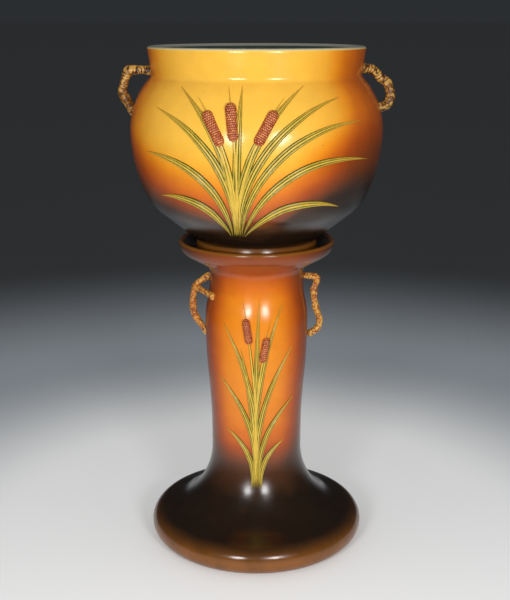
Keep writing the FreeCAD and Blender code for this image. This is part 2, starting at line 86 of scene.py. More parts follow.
def colour(name, description, code):
    """A colour property from the usual six-figure code, stored as scene-linear light."""
    parts = [int(code[at:at + 2], 16) / 255 for at in (0, 2, 4)]
    linear = [c / 12.92 if c <= 0.04045 else ((c + 0.055) / 1.055) ** 2.4 for c in parts]
    return bpy.props.FloatVectorProperty(
        name=name, description=description, default=linear, min=0.0, max=1.0, size=3, subtype="COLOR",
    )


class JardinierePedestalSizes(bpy.types.PropertyGroup):
    """The pedestal's outline, from the floor upward."""

    base_roll: length("Base roll", "Radius of the rolled edge of the base", 22.0)
    disc_width: length("Disc width", "Width of the sloped top of the base", 17.2)
    disc_slope: angle("Disc slope", "Angle of that top below the level", 15.0)
    skirt_curve: length("Skirt curve", "Radius of the hollow on the base", 55.0)
    flare_curve: length("Flare curve", "Radius of the flare under the column", 110.0)
    flare_sweep: angle("Flare sweep", "Angle that the flare turns through", 50.0)
    waist_radius: length("Waist radius", "Radius of the column above the flare", 67.6)
    waist_length: length("Waist length", "Length of the straight waist", 21.6)
    swell: length("Swell", "How far the column swells above the waist", 8.4)
    swell_length: length("Swell length", "Height from the waist to the widest part", 177.0)
    taper: length("Taper", "How far the column draws in again to its collar", 6.9)
    taper_length: length("Taper length", "Height from the widest part to the collar", 60.0)
    collar_length: length("Collar length", "Length of the straight collar", 14.0)
    wall: length("Wall", "Thickness of the wall", 9.0)
    rim_fillet: length("Rim fillet", "Radius of the hollow between collar and rim", 14.0)
    rim_slope: angle("Rim slope", "Angle of the rim's underside from the upright", 60.0)
    rim_edge: length("Rim edge", "Radius of the rim's rounded outer edge, under the lip", 20.0)
    rim_lip: length("Rim lip", "Radius of the rounded lip", 3.4)
    dish_width: length("Dish width", "Width of the slope from the lip to the deck", 11.6)
    deck_depth: length("Deck depth", "Depth of the deck under the rim", 14.8)
    deck_margin: length("Deck margin", "Clearance on the deck round the bowl's foot", 7.0)
    deck_thickness: length("Deck thickness", "Thickness of the deck", 10.0)
    deck_hole: length("Deck hole", "Radius of the hole in the deck", 30.0)


class JardiniereBowlSizes(bpy.types.PropertyGroup):
    """The bowl's outline, from its foot upward."""

    foot_radius: length("Foot radius", "Radius of the foot ring", 88.0)
    foot_height: length("Foot height", "Height of the foot ring", 17.5)
    foot_ring: length("Foot ring", "Width of the foot ring", 12.0)
    foot_recess: length("Foot recess", "Depth of the recess inside the foot ring", 5.0)
    foot_curve: length("Foot curve", "Radius of the foot ring's swelling outside", 45.0)
    foot_round: length("Foot round", "Radius of the foot ring's lower edge", 2.5)
    foot_ledge: length("Foot ledge", "Width of the ledge above the foot ring", 0.5)
    wall: length("Wall", "Thickness of the wall", 7.5)
    floor_height: length("Floor height", "Height of the inside floor above the foot", 16.0)
    under_slope: angle("Under slope", "Angle of the underside from the upright", 51.5)
    bilge_curve: length("Bilge curve", "Radius between underside and side", 58.0)
    side_curve: length("Side curve", "Radius of the side below the belly", 212.0)
    side_sweep: angle("Side sweep", "Angle that the side turns through", 26.0)
    belly_radius: length("Belly radius", "Radius at the widest", 178.3)
    shoulder_curve: length("Shoulder curve", "Radius of the shoulder", 105.0)
    neck_fillet: length("Neck fillet", "Radius of the small hollow between shoulder and neck", 8.0)
    neck_inset: length("Neck inset", "How far the neck is drawn in", 31.1)
    neck_length: length("Neck length", "Height from the neck's narrowest part to the lip", 33.8)
    neck_slope: angle("Neck slope", "Angle at which the neck leans out from the upright", 8.2)


class JardiniereTwigSizes(bpy.types.PropertyGroup):
    """The four twig handles."""

    bowl_radius: length("Bowl twig", "Radius of the bowl's twigs", 7.5)
    bowl_stand: length("Bowl stand", "How far they stand out past the belly", 17.7)
    bowl_rise: length("Bowl rise", "Height of the upper root above the shoulder's end", 11.7)
    bowl_low: length("Bowl low", "Height of the lower root above the belly", 29.0)
    pedestal_radius: length("Pedestal twig", "Radius of the pedestal's twigs", 5.8)
    pedestal_stand: length("Pedestal stand", "How far they stand out past the column", 24.0)
    pedestal_rise: length("Pedestal rise", "Height of the upper root above the collar's foot", 6.0)
    pedestal_low: length("Pedestal low", "Depth of the lower root under the widest part", 17.0)
    bark_depth: length("Bark depth", "Height of the bark's ridges", 1.1)
    bark_pitch: length("Bark pitch", "Distance between the bark's ridges", 5.0)
    voxel: length("Voxel", "Grain of the modelled twig", 0.65)


class JardiniereReliefSizes(bpy.types.PropertyGroup):
    """The raised sprays of rush blades and bulrush heads."""

    relief: length("Relief", "How far blades and stems stand out", 3.0)
    bowl_blade: length("Bowl blade", "Width of a blade on the bowl", 11.0)
    bowl_stem: length("Bowl stem", "Width of a stem on the bowl", 4.6)
    bowl_head: length("Bowl head", "Radius of a bulrush head on the bowl", 8.0)
    bowl_head_length: length("Bowl head length", "Length of a bulrush head on the bowl", 50.0)
    pedestal_blade: length("Pedestal blade", "Width of a blade on the pedestal", 8.0)
    pedestal_stem: length("Pedestal stem", "Width of a stem on the pedestal", 3.8)
    pedestal_head: length("Pedestal head", "Radius of a bulrush head on the pedestal", 6.2)
    pedestal_head_length: length("Pedestal head length", "Length of a head on the pedestal", 38.0)
    head_proud: length("Head proud", "How far a head's centre line lies out of the wall", 1.5)
    seed_depth: length("Seed depth", "Height of the grain on a head", 0.8)
    seed_pitch: length("Seed pitch", "Distance between the rows of grain", 3.0)


class JardiniereGlazes(bpy.types.PropertyGroup):
    """The colours of the glazes."""

    gold: colour("Gold", "Airbrushed golden yellow", "FFC54A")
    honey: colour("Honey", "Deeper yellow", "FDB338")
    amber: colour("Amber", "Orange amber", "F5951F")
    orange: colour("Orange", "Burnt orange", "DC7119")
    russet: colour("Russet", "Russet", "B24F18")
    chestnut: colour("Chestnut", "Red brown", "84401C")
    walnut: colour("Walnut", "Dark brown", "4E2F1C")
    umber: colour("Umber", "Nearly black brown", "241910")
    band: colour("Band", "Brown orange of the base's rolled edge", "86501A")
    cream: colour("Cream", "Thin glaze on the edge of the bowl's lip", "F2D788")
    slip: colour("Slip", "Pale grey top of the bowl's lip", "B4B3A6")
    lining: colour("Lining", "Grey green inside the bowl", "5C6A62")
    clay: colour("Clay", "Bare fired clay", "B98F62")
    straw: colour("Straw", "Crest of a blade", "E6BE48")
    leaf: colour("Leaf", "Flank of a blade", "7E7A20")
    moss: colour("Moss", "Groove of a blade", "262A0C")
    # The heads' grain is two-tone; its lighter crests are partly a painted highlight.
    seed_light: colour("Seed light", "Crest of the heads' grain", "F0A05C")
    seed_dark: colour("Seed dark", "Hollow of the heads' grain", "923010")
    bark_light: colour("Bark light", "Crest of the bark", "E0B052")
    bark_warm: colour("Bark warm", "Flanks of the bark", "98622A")
    bark_orange: colour("Bark orange", "The same on the pedestal", "C07028")
    bark_dark: colour("Bark dark", "Hollows of the bark", "2A1A10")


class JardiniereStage(bpy.types.PropertyGroup):
    """Camera, lamps and floor."""

    camera_distance: length("Camera distance", "Distance from the axis", 1477.0)
    camera_height: length("Camera height", "Height of the camera", 774.0)
    camera_side: length("Camera side", "How far left of the axis it stands", 2.2)
    camera_pitch: angle("Camera pitch", "How far it looks down", 15.3)
    focal_share: share("Focal share", "Focal length over the picture's height", 1031 / 600)
    lamp_turn: angle("Lamp turn", "How far each lamp stands to the side", 19.0)
    lamp_height: length("Lamp height", "Height of the lamps", 640.0)
    lamp_distance: length("Lamp distance", "Distance of the lamps from the axis", 1480.0)
    lamp_size: length("Lamp size", "Width of each lamp", 350.0)
    lamp_power: bpy.props.FloatProperty(
        name="Lamp power", description="Power of each lamp", default=8.6,
        min=0.0, subtype="POWER", unit="POWER",
    )
    fill: share("Fill", "Strength of the soft light from all round", 0.38)
    floor_lift: share("Floor lift", "How much brighter the floor looks than its light makes it", 0.16)
    # The floor goes from pale round the object to dark grey far off: a painted pool of light round the object
    # and painted fall-off of light further away.
    floor_near: colour("Floor near", "Pale paper round the object", "F4F5F5")
    floor_middle: colour("Floor middle", "The paper further off", "959CA3")
    floor_far: colour("Floor far", "The paper at its far end, and the backdrop", "3C3F42")


GROUPS = {
    "jardiniere_bowl": JardiniereBowlSizes,
    "jardiniere_pedestal": JardinierePedestalSizes,
    "jardiniere_twigs": JardiniereTwigSizes,
    "jardiniere_relief": JardiniereReliefSizes,
    "jardiniere_glazes": JardiniereGlazes,
    "jardiniere_stage": JardiniereStage,
}


# ---------------------------------------------------------------- outlines

ARC_STEP = 1.6 * MM  # spacing of the points along an outline
ARC_LEAST = 3  # fewest steps on an arc
BOWL_SEGMENTS = 288  # points round the bowl
PEDESTAL_SEGMENTS = 256  # points round the pedestal
NOTHING = 1e-7  # a length too small to count, in metres


def arc_points(start, end, bend, turn):
    """Points from start to end, without start, along an arc; turn is 1 where it bends left."""
    chord = end - start
    count = max(1, math.ceil(abs(chord) / ARC_STEP))
    if bend is None:
        return [start + chord * step / count for step in range(1, count + 1)]
    reach = math.sqrt(max(bend**2 - abs(chord / 2) ** 2, 0.0))
    centre = (start + end) / 2 + chord / abs(chord) * 1j * reach * turn
    sweep = 2 * math.asin(min(1.0, abs(chord) / 2 / bend)) * turn
    count = max(ARC_LEAST, math.ceil(abs(sweep) * bend / ARC_STEP))
    arm = start - centre
    return [centre + arm * complex(math.cos(a), math.sin(a)) for a in np.linspace(0, sweep, count + 1)[1:]]


def traced(corners):
    """An outline as complex points, radius + height * i.

    Each corner is (radius, height) or (radius, height, bend, turn), where bend is the radius of the
    arc that leads to it and turn is 1 where that arc swells and -1 where it is hollow.
    """
    points = [complex(*corners[0][:2])]
    for corner in corners[1:]:
        bend, turn = corner[2:] if len(corner) > 2 else (None, 1)
        points += arc_points(points[-1], complex(*corner[:2]), bend, turn)
    return points


def bowl_layout(s):
    """Radii and heights of the bowl that follow from its sizes."""
    side_x = s.belly_radius - s.side_curve * (1 - math.cos(s.side_sweep))
    bilge_x = side_x - s.bilge_curve * (math.cos(s.side_sweep) - math.cos(s.under_slope))
    under_x = s.foot_radius + s.foot_ledge
    bilge_z = s.foot_height + (bilge_x - under_x) / math.tan(s.under_slope)
    side_z = bilge_z + s.bilge_curve * (math.sin(s.under_slope) - math.sin(s.side_sweep))
    belly_z = side_z + s.side_curve * math.sin(s.side_sweep)
    foot_reach = math.sqrt(s.foot_curve**2 - (s.foot_height - s.foot_round) ** 2)
    foot_top_x = s.foot_radius - s.foot_curve + foot_reach
    neck_x = s.belly_radius - s.neck_inset
    core_x = s.belly_radius - s.shoulder_curve
    apart = s.shoulder_curve + s.neck_fillet
    across = neck_x + s.neck_fillet - core_x
    up = math.sqrt(apart**2 - across**2)
    share, share_in = s.shoulder_curve / apart, (s.shoulder_curve - s.wall) / apart
    neck_z = belly_z + up
    neck_low_x = neck_x + s.neck_fillet * (1 - math.cos(s.neck_slope))
    neck_low_z = neck_z + s.neck_fillet * math.sin(s.neck_slope)
    lip_z = neck_z + s.neck_length
    return SimpleNamespace(
        side_x=side_x, side_z=side_z, bilge_x=bilge_x, bilge_z=bilge_z, under_x=under_x,
        foot_top_x=foot_top_x, belly_z=belly_z, neck_low_x=neck_low_x, neck_low_z=neck_low_z,
        neck_in_x=neck_low_x - s.wall * math.cos(s.neck_slope),
        neck_in_z=neck_low_z + s.wall * math.sin(s.neck_slope),
        shoulder_x=core_x + across * share, shoulder_z=belly_z + up * share,
        shoulder_in_x=core_x + across * share_in, shoulder_in_z=belly_z + up * share_in,
        lip_x=neck_low_x + (lip_z - neck_low_z) * math.tan(s.neck_slope), lip_z=lip_z,
    )


def bowl_outlines(s):
    """The bowl's foot, outside and inside as corners, each starting where the last one ends."""
    at = bowl_layout(s)
    foot = [
        (0.0, s.foot_recess),
        (s.foot_radius - s.foot_ring, s.foot_recess),
        (s.foot_radius - s.foot_ring, 0.0),
        (s.foot_radius - s.foot_round, 0.0),
    ]
    outside = [
        foot[-1],
        (s.foot_radius, s.foot_round, s.foot_round, 1),
        (at.foot_top_x, s.foot_height, s.foot_curve, 1),
        (at.under_x, s.foot_height),
        (at.bilge_x, at.bilge_z),
        (at.side_x, at.side_z, s.bilge_curve, 1),
        (s.belly_radius, at.belly_z, s.side_curve, 1),
        (at.shoulder_x, at.shoulder_z, s.shoulder_curve, 1),
        (at.neck_low_x, at.neck_low_z, s.neck_fillet, -1),
        (at.lip_x, at.lip_z),
        (at.lip_x - s.wall / 2, at.lip_z + s.wall / 2, s.wall / 2, 1),
        (at.lip_x - s.wall, at.lip_z, s.wall / 2, 1),
    ]
    side_in = (at.side_x - s.wall * math.cos(s.side_sweep), at.side_z + s.wall * math.sin(s.side_sweep))
    bilge_in = (at.bilge_x - s.wall * math.cos(s.under_slope), at.bilge_z + s.wall * math.sin(s.under_slope))
    floor_x = bilge_in[0] - (bilge_in[1] - s.floor_height) * math.tan(s.under_slope)
    inside = [
        outside[-1][:2],
        (at.neck_in_x, at.neck_in_z),
        (at.shoulder_in_x, at.shoulder_in_z, s.neck_fillet + s.wall, 1),
        (s.belly_radius - s.wall, at.belly_z, s.shoulder_curve - s.wall, -1),
        (*side_in, s.side_curve - s.wall, -1),
        (*bilge_in, s.bilge_curve - s.wall, -1),
        (floor_x, s.floor_height),
        (0.0, s.floor_height),
    ]
    return foot, outside, inside


def pedestal_layout(s, foot_radius):
    """Radii and heights of the pedestal that follow from its sizes and the bowl's foot."""
    flare_x = s.waist_radius + s.flare_curve * (1 - math.cos(s.flare_sweep))
    skirt_x = flare_x + s.skirt_curve * (math.cos(s.flare_sweep) - math.sin(s.disc_slope))
    roll_x = skirt_x + s.disc_width
    roll_z = s.base_roll * (1 + math.cos(s.disc_slope))
    skirt_z = roll_z + s.disc_width * math.tan(s.disc_slope)
    flare_z = skirt_z + s.skirt_curve * (math.cos(s.disc_slope) - math.sin(s.flare_sweep))
    waist_low = flare_z + s.flare_curve * math.sin(s.flare_sweep)
    waist_z = waist_low + s.waist_length
    column_z = waist_z + s.swell_length
    column_x = s.waist_radius + s.swell
    collar_x = column_x - s.taper
    collar_z = column_z + s.taper_length
    root_x = collar_x + s.rim_fillet * (1 - math.cos(s.rim_slope))
    root_z = collar_z + s.collar_length + s.rim_fillet * math.sin(s.rim_slope)
    deck_x = foot_radius + s.deck_margin
    rim_x = deck_x + s.dish_width + 2 * s.rim_lip
    rim_under_x = rim_x - s.rim_edge * (1 - math.cos(s.rim_slope))
    rim_under_z = root_z + (rim_under_x - root_x) / math.tan(s.rim_slope)
    rim_low = rim_under_z + s.rim_edge * math.sin(s.rim_slope)
    return SimpleNamespace(
        flare_x=flare_x, flare_z=flare_z, skirt_x=skirt_x, skirt_z=skirt_z, roll_x=roll_x, roll_z=roll_z,
        base_x=roll_x + s.base_roll * (1 - math.sin(s.disc_slope)), waist_low=waist_low, waist_z=waist_z,
        column_x=column_x, column_z=column_z, collar_x=collar_x, collar_z=collar_z,
        collar_top=collar_z + s.collar_length, root_x=root_x, root_z=root_z,
        rim_under_x=rim_under_x, rim_under_z=rim_under_z, rim_x=rim_x, rim_low=rim_low,
        deck_x=deck_x, deck_z=rim_low + s.rim_lip - s.deck_depth,
        swell_bend=(s.swell_length**2 + s.swell**2) / (4 * s.swell),
        taper_bend=(s.taper_length**2 + s.taper**2) / (4 * s.taper),
    )


def pedestal_outlines(s, foot_radius):
    """The pedestal's outside, dish and hollow as corners, each starting where the last one ends."""
    at = pedestal_layout(s, foot_radius)
    swell_mid = (s.waist_radius + s.swell / 2, at.waist_z + s.swell_length / 2)
    taper_mid = (at.column_x - s.taper / 2, at.column_z + s.taper_length / 2)
    outside = [
        (at.base_x - s.base_roll, 0.0),
        (at.base_x, s.base_roll, s.base_roll, 1),
        (at.roll_x, at.roll_z, s.base_roll, 1),
        (at.skirt_x, at.skirt_z),
        (at.flare_x, at.flare_z, s.skirt_curve, -1),
        (s.waist_radius, at.waist_low, s.flare_curve, -1),
        (s.waist_radius, at.waist_z),
        (*swell_mid, at.swell_bend, -1),
        (at.column_x, at.column_z, at.swell_bend, 1),
        (*taper_mid, at.taper_bend, 1),
        (at.collar_x, at.collar_z, at.taper_bend, -1),
        (at.collar_x, at.collar_top),
        (at.root_x, at.root_z, s.rim_fillet, -1),
        (at.rim_under_x, at.rim_under_z),
        (at.rim_x, at.rim_low, s.rim_edge, 1),
        (at.rim_x - s.rim_lip, at.rim_low + s.rim_lip, s.rim_lip, 1),
        (at.rim_x - 2 * s.rim_lip, at.rim_low, s.rim_lip, 1),
    ]
    deck_under = at.deck_z - s.deck_thickness
    dish = [outside[-1][:2], (at.deck_x, at.deck_z), (s.deck_hole, at.deck_z), (s.deck_hole, deck_under)]
    wall = s.wall
    skirt_in = (at.skirt_x - wall * math.sin(s.disc_slope), at.skirt_z - wall * math.cos(s.disc_slope))
    foot_in_z = skirt_in[1] - (at.skirt_x - skirt_in[0]) * math.tan(s.disc_slope)
    flare_in = (at.flare_x - wall * math.cos(s.flare_sweep), at.flare_z - wall * math.sin(s.flare_sweep))
    hollow = [
        dish[-1],
        (at.collar_x - wall, deck_under),
        (at.collar_x - wall, at.collar_z),
        (taper_mid[0] - wall, taper_mid[1], at.taper_bend, 1),
        (at.column_x - wall, at.column_z, at.taper_bend, -1),
        (swell_mid[0] - wall, swell_mid[1], at.swell_bend, -1),
        (s.waist_radius - wall, at.waist_z, at.swell_bend, 1),
        (s.waist_radius - wall, at.waist_low),
        (*flare_in, s.flare_curve + wall, 1),
        (*skirt_in, s.skirt_curve + wall, 1),
        (at.skirt_x, foot_in_z),
        (at.skirt_x, 0.0),
        (at.base_x - s.base_roll, 0.0),
    ]
    return outside, dish, hollow


class Wall:
    """The outside of a turned body, on which relief and handles are seated."""

    def __init__(self, corners, low, lift):
        points = [p for p in traced(corners) if p.imag >= low]
        order = np.argsort([p.imag for p in points])
        self.heights = np.array([points[i].imag for i in order]) + lift
        self.radii = np.array([points[i].real for i in order])

    def radius(self, height):
        return float(np.interp(height, self.heights, self.radii))

    def seat(self, x, z):
        """The point of the front that is seen at x and z."""
        return Vector((x, -math.sqrt(max(self.radius(z) ** 2 - x * x, 1e-8)), z))

    def outward(self, point):
        """The wall's normal at a point on it."""
        reach = 1.0 * MM
        slope = (self.radius(point.z + reach) - self.radius(point.z - reach)) / (2 * reach)
        flat = Vector((point.x, point.y, 0)).normalized()
        return Vector((flat.x, flat.y, -slope)).normalized()


# ---------------------------------------------------------------- meshes

def add_mesh(name, vertices, faces, materials, body, replaced, attributes=None, face_materials=None):
    """A smooth piece that rides on a body and stands for CAD nodes."""
    mesh = bpy.data.meshes.new(name)
    mesh.from_pydata([tuple(v) for v in vertices], [], faces)
    for material in materials:
        mesh.materials.append(material)
    if face_materials is not None:
        mesh.polygons.foreach_set("material_index", face_materials)
    for key, values in (attributes or {}).items():
        mesh.attributes.new(key, "FLOAT", "POINT").data.foreach_set("value", np.asarray(values, np.float32))
    finish_normals(mesh)
    piece = bpy.data.objects.new(name, mesh)
    bpy.context.scene.collection.objects.link(piece)
    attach(piece, body)
    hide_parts(*replaced)


def finish_normals(mesh, sharp=math.radians(38)):
    """Turns every face outward and shades the mesh smooth, except across sharp edges."""
    form = bmesh.new()
    form.from_mesh(mesh)
    bmesh.ops.recalc_face_normals(form, faces=form.faces)
    form.to_mesh(mesh)
    form.free()
    mesh.polygons.foreach_set("use_smooth", [True] * len(mesh.polygons))
    mesh.set_sharp_from_angle(angle=sharp)
    mesh.update()


def turned(stretches, segments, lift, wobble):
    """A body of revolution. Each stretch is (outline points, material index) and starts where the
    last one ends. Returns its vertices, faces and the faces' material indices."""
    points, kinds = [stretches[0][0][0]], []
    for outline, kind in stretches:
        points += outline[1:]
        kinds += [kind] * (len(outline) - 1)
    closed = abs(points[0] - points[-1]) < NOTHING
    if closed:
        points.pop()
    vertices, rings = [], []
    for point in points:
        if point.real < NOTHING:
            rings.append([len(vertices)])
            vertices.append((0.0, 0.0, point.imag + lift))
            continue
        rings.append(list(range(len(vertices), len(vertices) + segments)))
        for turn in np.linspace(0, 2 * math.pi, segments, endpoint=False):
            direction = Vector((math.cos(turn), math.sin(turn), 0))
            reach = point.real + wobble(direction, point.imag)
            vertices.append((direction.x * reach, direction.y * reach, point.imag + lift))
    faces, face_kinds = [], []
    pairs = list(zip(rings, rings[1:] + rings[:1] if closed else rings[1:]))
    for (lower, upper), kind in zip(pairs, kinds):
        for i in range(segments):
            j = (i + 1) % segments
            corners = [lower[k % len(lower)] for k in (i, j)] + [upper[k % len(upper)] for k in (j, i)]
            faces.append(tuple(dict.fromkeys(corners)))
            face_kinds.append(kind)
    return vertices, faces, face_kinds


def join_rings(store, base, rings, size):
    """Adds the faces between closed rings of size vertices each, which start at vertex base."""
    for row in range(rings - 1):
        for i in range(size):
            j = (i + 1) % size
            a, b = base + row * size, base + (row + 1) * size
            store.faces.append((a + i, a + j, b + j, b + i))


def hand_wobble(amount, scale, seed):
    """The slight unevenness of a turned and fettled wall."""

    def wobble(direction, height):
        return amount * noise.noise(Vector((direction.x * 2, direction.y * 2, height * scale + seed)))

    return wobble


# ---------------------------------------------------------------- relief

# A leaf or stem, seen from the front: its root and its tip, and how far it bows to the left of the
# straight line between them, as a share of that line. The first number of a point runs from -1 to 1
# over the wall's width, and the second from 0 to 1 over the height that the spray fills.
BOWL_BLADES = [
    ((-0.19, 0.10), (-0.72, 0.34), -0.20),
    ((-0.18, 0.10), (-0.83, 0.60), -0.20),
    ((-0.17, 0.10), (-0.74, 0.86), -0.17),
    ((-0.16, 0.10), (-0.55, 0.98), -0.11),
    ((-0.15, 0.10), (-0.30, 0.76), -0.04),
    ((-0.14, 0.10), (-0.10, 0.99), 0.02),
    ((-0.13, 0.10), (0.34, 0.99), 0.13),
    ((-0.12, 0.10), (0.60, 0.92), 0.18),
    ((-0.11, 0.10), (0.78, 0.78), 0.21),
    ((-0.10, 0.10), (0.84, 0.55), 0.22),
    ((-0.09, 0.10), (0.62, 0.28), 0.20),
]
BOWL_STEMS = [
    ((-0.16, 0.10), (-0.42, 0.93), -0.09),
    ((-0.14, 0.10), (-0.20, 0.99), -0.02),
    ((-0.12, 0.10), (0.20, 0.93), 0.10),
]
PEDESTAL_BLADES = [
    ((-0.12, 0.12), (-0.66, 0.38), -0.16),
    ((-0.09, 0.12), (-0.80, 0.62), -0.12),
    ((-0.06, 0.12), (-0.70, 0.86), -0.08),
    ((-0.03, 0.12), (-0.34, 0.76), -0.03),
    ((0.00, 0.12), (0.06, 0.97), 0.01),
    ((0.03, 0.12), (0.56, 0.95), 0.06),
    ((0.06, 0.12), (0.78, 0.76), 0.09),
    ((0.09, 0.12), (0.80, 0.52), 0.13),
    ((0.12, 0.12), (0.60, 0.33), 0.16),
]
PEDESTAL_STEMS = [
    ((-0.04, 0.12), (-0.30, 0.97), -0.03),
    ((0.02, 0.12), (0.30, 0.88), 0.04),
]
LEAF_STEPS = 110  # steps along a blade or stem
# Points from the left edge of a blade or stem to its middle, as shares of its half width.
BLADE_ACROSS = (
    -1.0, -0.97, -0.92, -0.84, -0.74, -0.64, -0.54, -0.45, -0.38, -0.32, -0.26, -0.19, -0.12, -0.06,
)
STEM_ACROSS = (-1.0, -0.9, -0.7, -0.4)
RIB_AT = 0.64  # where a blade's side ribs lie, as a share of its half width
RIB_HALF = 0.36  # half a rib's width, as a share of the same
RIB_SHARE = 0.62  # how much of a blade's height its ribs make up
SIDE_RIB = 0.86  # height of the side ribs, as a share of the middle one's
LEAF_WANDER = 0.10  # how far a leaf's middle strays, as a share of its half width
LEAF_TAPER = 0.45  # power of its width by which a leaf's height falls away at its ends
SUNK = 0.7 * MM  # how deep the edges of the relief's underside lie in the wall
SPINE_SUNK = 1.3  # how many times deeper its middle lies
BLADE_RELIEF = 0.80  # height of the flattest blade, as a share of the relief
BLADE_VARIETY = 0.17  # how much higher the highest blade stands, as a share of the same
STEM_RELIEF = 0.98  # height of a stem, as a share of the same
HEAD_TOP = 0.90  # where a bulrush head ends, as a share of its stem's length
HEAD_BACK = 0.3  # how full its hidden back is; a full one would come through the bowl's wall
HEAD_STEP = 0.02  # steps along the stem, as shares of it, in which the head's length is measured
GRAIN_POINTS = 5  # points across one grain of a head


def bowed(start, end, bow, at):
    """A point, as x + z * i, on the arc from start to end that bows to the left."""
    chord = end - start
    if abs(bow) < 1e-6:
        return start + chord * at
    half, rise = abs(chord) / 2, bow * abs(chord)
    bend = (half**2 + rise**2) / (2 * rise)
    unit = chord / abs(chord)
    centre = (start + end) / 2 - unit * 1j * (bend - rise)
    turn = (1 - 2 * at) * math.asin(half / abs(bend))
    return centre + unit * 1j * bend * math.cos(turn) - unit * abs(bend) * math.sin(turn)


def mirrored(across):
    return [*across, 0.0, *[-t for t in reversed(across)]]


def blade_profile(t):
    """Height of a blade across its width and how far up a rib that is: three ribs and two grooves."""
    body = max(0.0, 1 - abs(t) ** 4) ** 0.5
    middle = max(0.0, 1 - (t / RIB_HALF) ** 2) ** 0.5
    side = SIDE_RIB * max(0.0, 1 - ((abs(t) - RIB_AT) / RIB_HALF) ** 2) ** 0.5
    rib = max(middle, side)
    return body * (1 - RIB_SHARE) + rib * RIB_SHARE, rib


def stem_profile(t):
    rise = math.sqrt(max(0.0, 1 - t * t))
    return rise, rise


def add_leaf(store, wall, start, end, bow, width, relief, profile, across, seed):
    """Adds one raised leaf to store as a closed form: its top, and an underside sunk in the wall."""
    stretch = abs(end - start)
    lean = width / (2 * stretch)
    loops = []
    for step in range(LEAF_STEPS + 1):
        at = 0.5 - 0.5 * math.cos(math.pi * step / LEAF_STEPS)
        left, right = bowed(start, end, bow + lean, at), bowed(start, end, bow - lean, at)
        middle, arm = (left + right) / 2, (right - left) / 2
        fullness = min(1.0, 2 * abs(arm) / width)
        middle += arm * LEAF_WANDER * noise.noise(Vector((at * 6, seed, 0)))
        height = relief * fullness**LEAF_TAPER * (0.92 + 0.08 * noise.noise(Vector((at * 9, seed, 5))))
        loop = []
        for t in across:
            spot = middle + arm * t
            seat = wall.seat(spot.real, spot.imag)
            rise, rib = profile(t)
            depth = SUNK if abs(t) == 1.0 else 0.0
            loop.append((seat + wall.outward(seat) * (height * rise - depth), rib**2, at))
        seat = wall.seat(middle.real, middle.imag)
        loop.append((seat - wall.outward(seat) * SUNK * SPINE_SUNK, 0.0, at))
        loops.append(loop)
    base = len(store.vertices)
    size = len(loops[0])
    for loop in loops:
        for place, rib, at in loop:
            store.vertices.append(place)
            store.crest.append(rib)
            store.along.append(at)
    join_rings(store, base, LEAF_STEPS + 1, size)
    store.faces.append(tuple(range(base + size - 1, base - 1, -1)))
    store.faces.append(tuple(range(base + LEAF_STEPS * size, base + (LEAF_STEPS + 1) * size)))


def new_store():
    return SimpleNamespace(vertices=[], faces=[], crest=[], along=[])


def placed(leaves, across, low, high):
    """The leaves' roots and tips as x + z * i on the front view."""

    def place(point):
        return complex(point[0] * across, low + (high - low) * point[1])

    return [(place(root), place(tip), bow) for root, tip, bow in leaves]


def add_head(store, wall, stem, radius, reach, relief, seed):
    """Adds a bulrush head that lies along its stem, with rows of grain."""

    def proud_of_wall(share):
        spot = bowed(*stem, share)
        seat = wall.seat(spot.real, spot.imag)
        return seat + Vector((seat.x, seat.y, 0)).normalized() * relief.head_proud

    share = HEAD_TOP
    top = bottom = proud_of_wall(share)
    while (bottom - top).length < reach and share > 0:
        share -= HEAD_STEP
        bottom = proud_of_wall(share)
    along = (bottom - top).normalized()
    steps = GRAIN_POINTS * round(reach / relief.seed_pitch)
    sides = GRAIN_POINTS * round(2 * math.pi * radius / relief.seed_pitch)
    base = len(store.vertices)
    for step in range(steps + 1):
        far = reach * step / steps
        place = top + along * far
        out = wall.outward(place)
        out = (out - along * out.dot(along)).normalized()
        side = along.cross(out)
        cap = min(far, reach - far) / radius
        swell = math.sqrt(max(0.0, 1 - (1 - min(cap, 1.0)) ** 2))
        swell *= 0.96 + 0.04 * math.sin(math.pi * step / steps)
        for i in range(sides):
            turn = 2 * math.pi * i / sides
            row = step / GRAIN_POINTS
            column = i / GRAIN_POINTS + 0.5 * (math.floor(row) % 2)
            bump = abs(math.sin(math.pi * row)) ** 0.7 * abs(math.sin(math.pi * column)) ** 0.7
            cell = Vector((math.floor(row) * 1.37, math.floor(column) * 2.11, seed))
            bump *= 0.75 + 0.5 * noise.noise(cell)
            reach_out = (radius - relief.seed_depth * (1 - bump)) * swell
            rise = math.cos(turn)
            rise *= 1.0 if rise > 0 else HEAD_BACK
            store.vertices.append(place + (out * rise + side * math.sin(turn)) * reach_out)
            store.crest.append(bump)
            store.along.append(step / steps)
    join_rings(store, base, steps + 1, sides)
    store.faces.append(tuple(range(base, base + sides)))
    store.faces.append(tuple(range(base + (steps + 1) * sides - 1, base + steps * sides - 1, -1)))


def both_sides(store, body, kind, material):
    """Makes the front piece from store and its copy, turned half round, at the back."""
    for where, turn in FRONT_AND_BACK:
        cos, sin = math.cos(turn), math.sin(turn)
        vertices = [(v.x * cos - v.y * sin, v.x * sin + v.y * cos, v.z) for v in store.vertices]
        add_mesh(
            f"{body}_{kind}_{where}", vertices, store.faces, [material], body,
            [f"{body}_{where}_{kind}"], {"crest": store.crest, "along": store.along},
        )


# ---------------------------------------------------------------- twigs

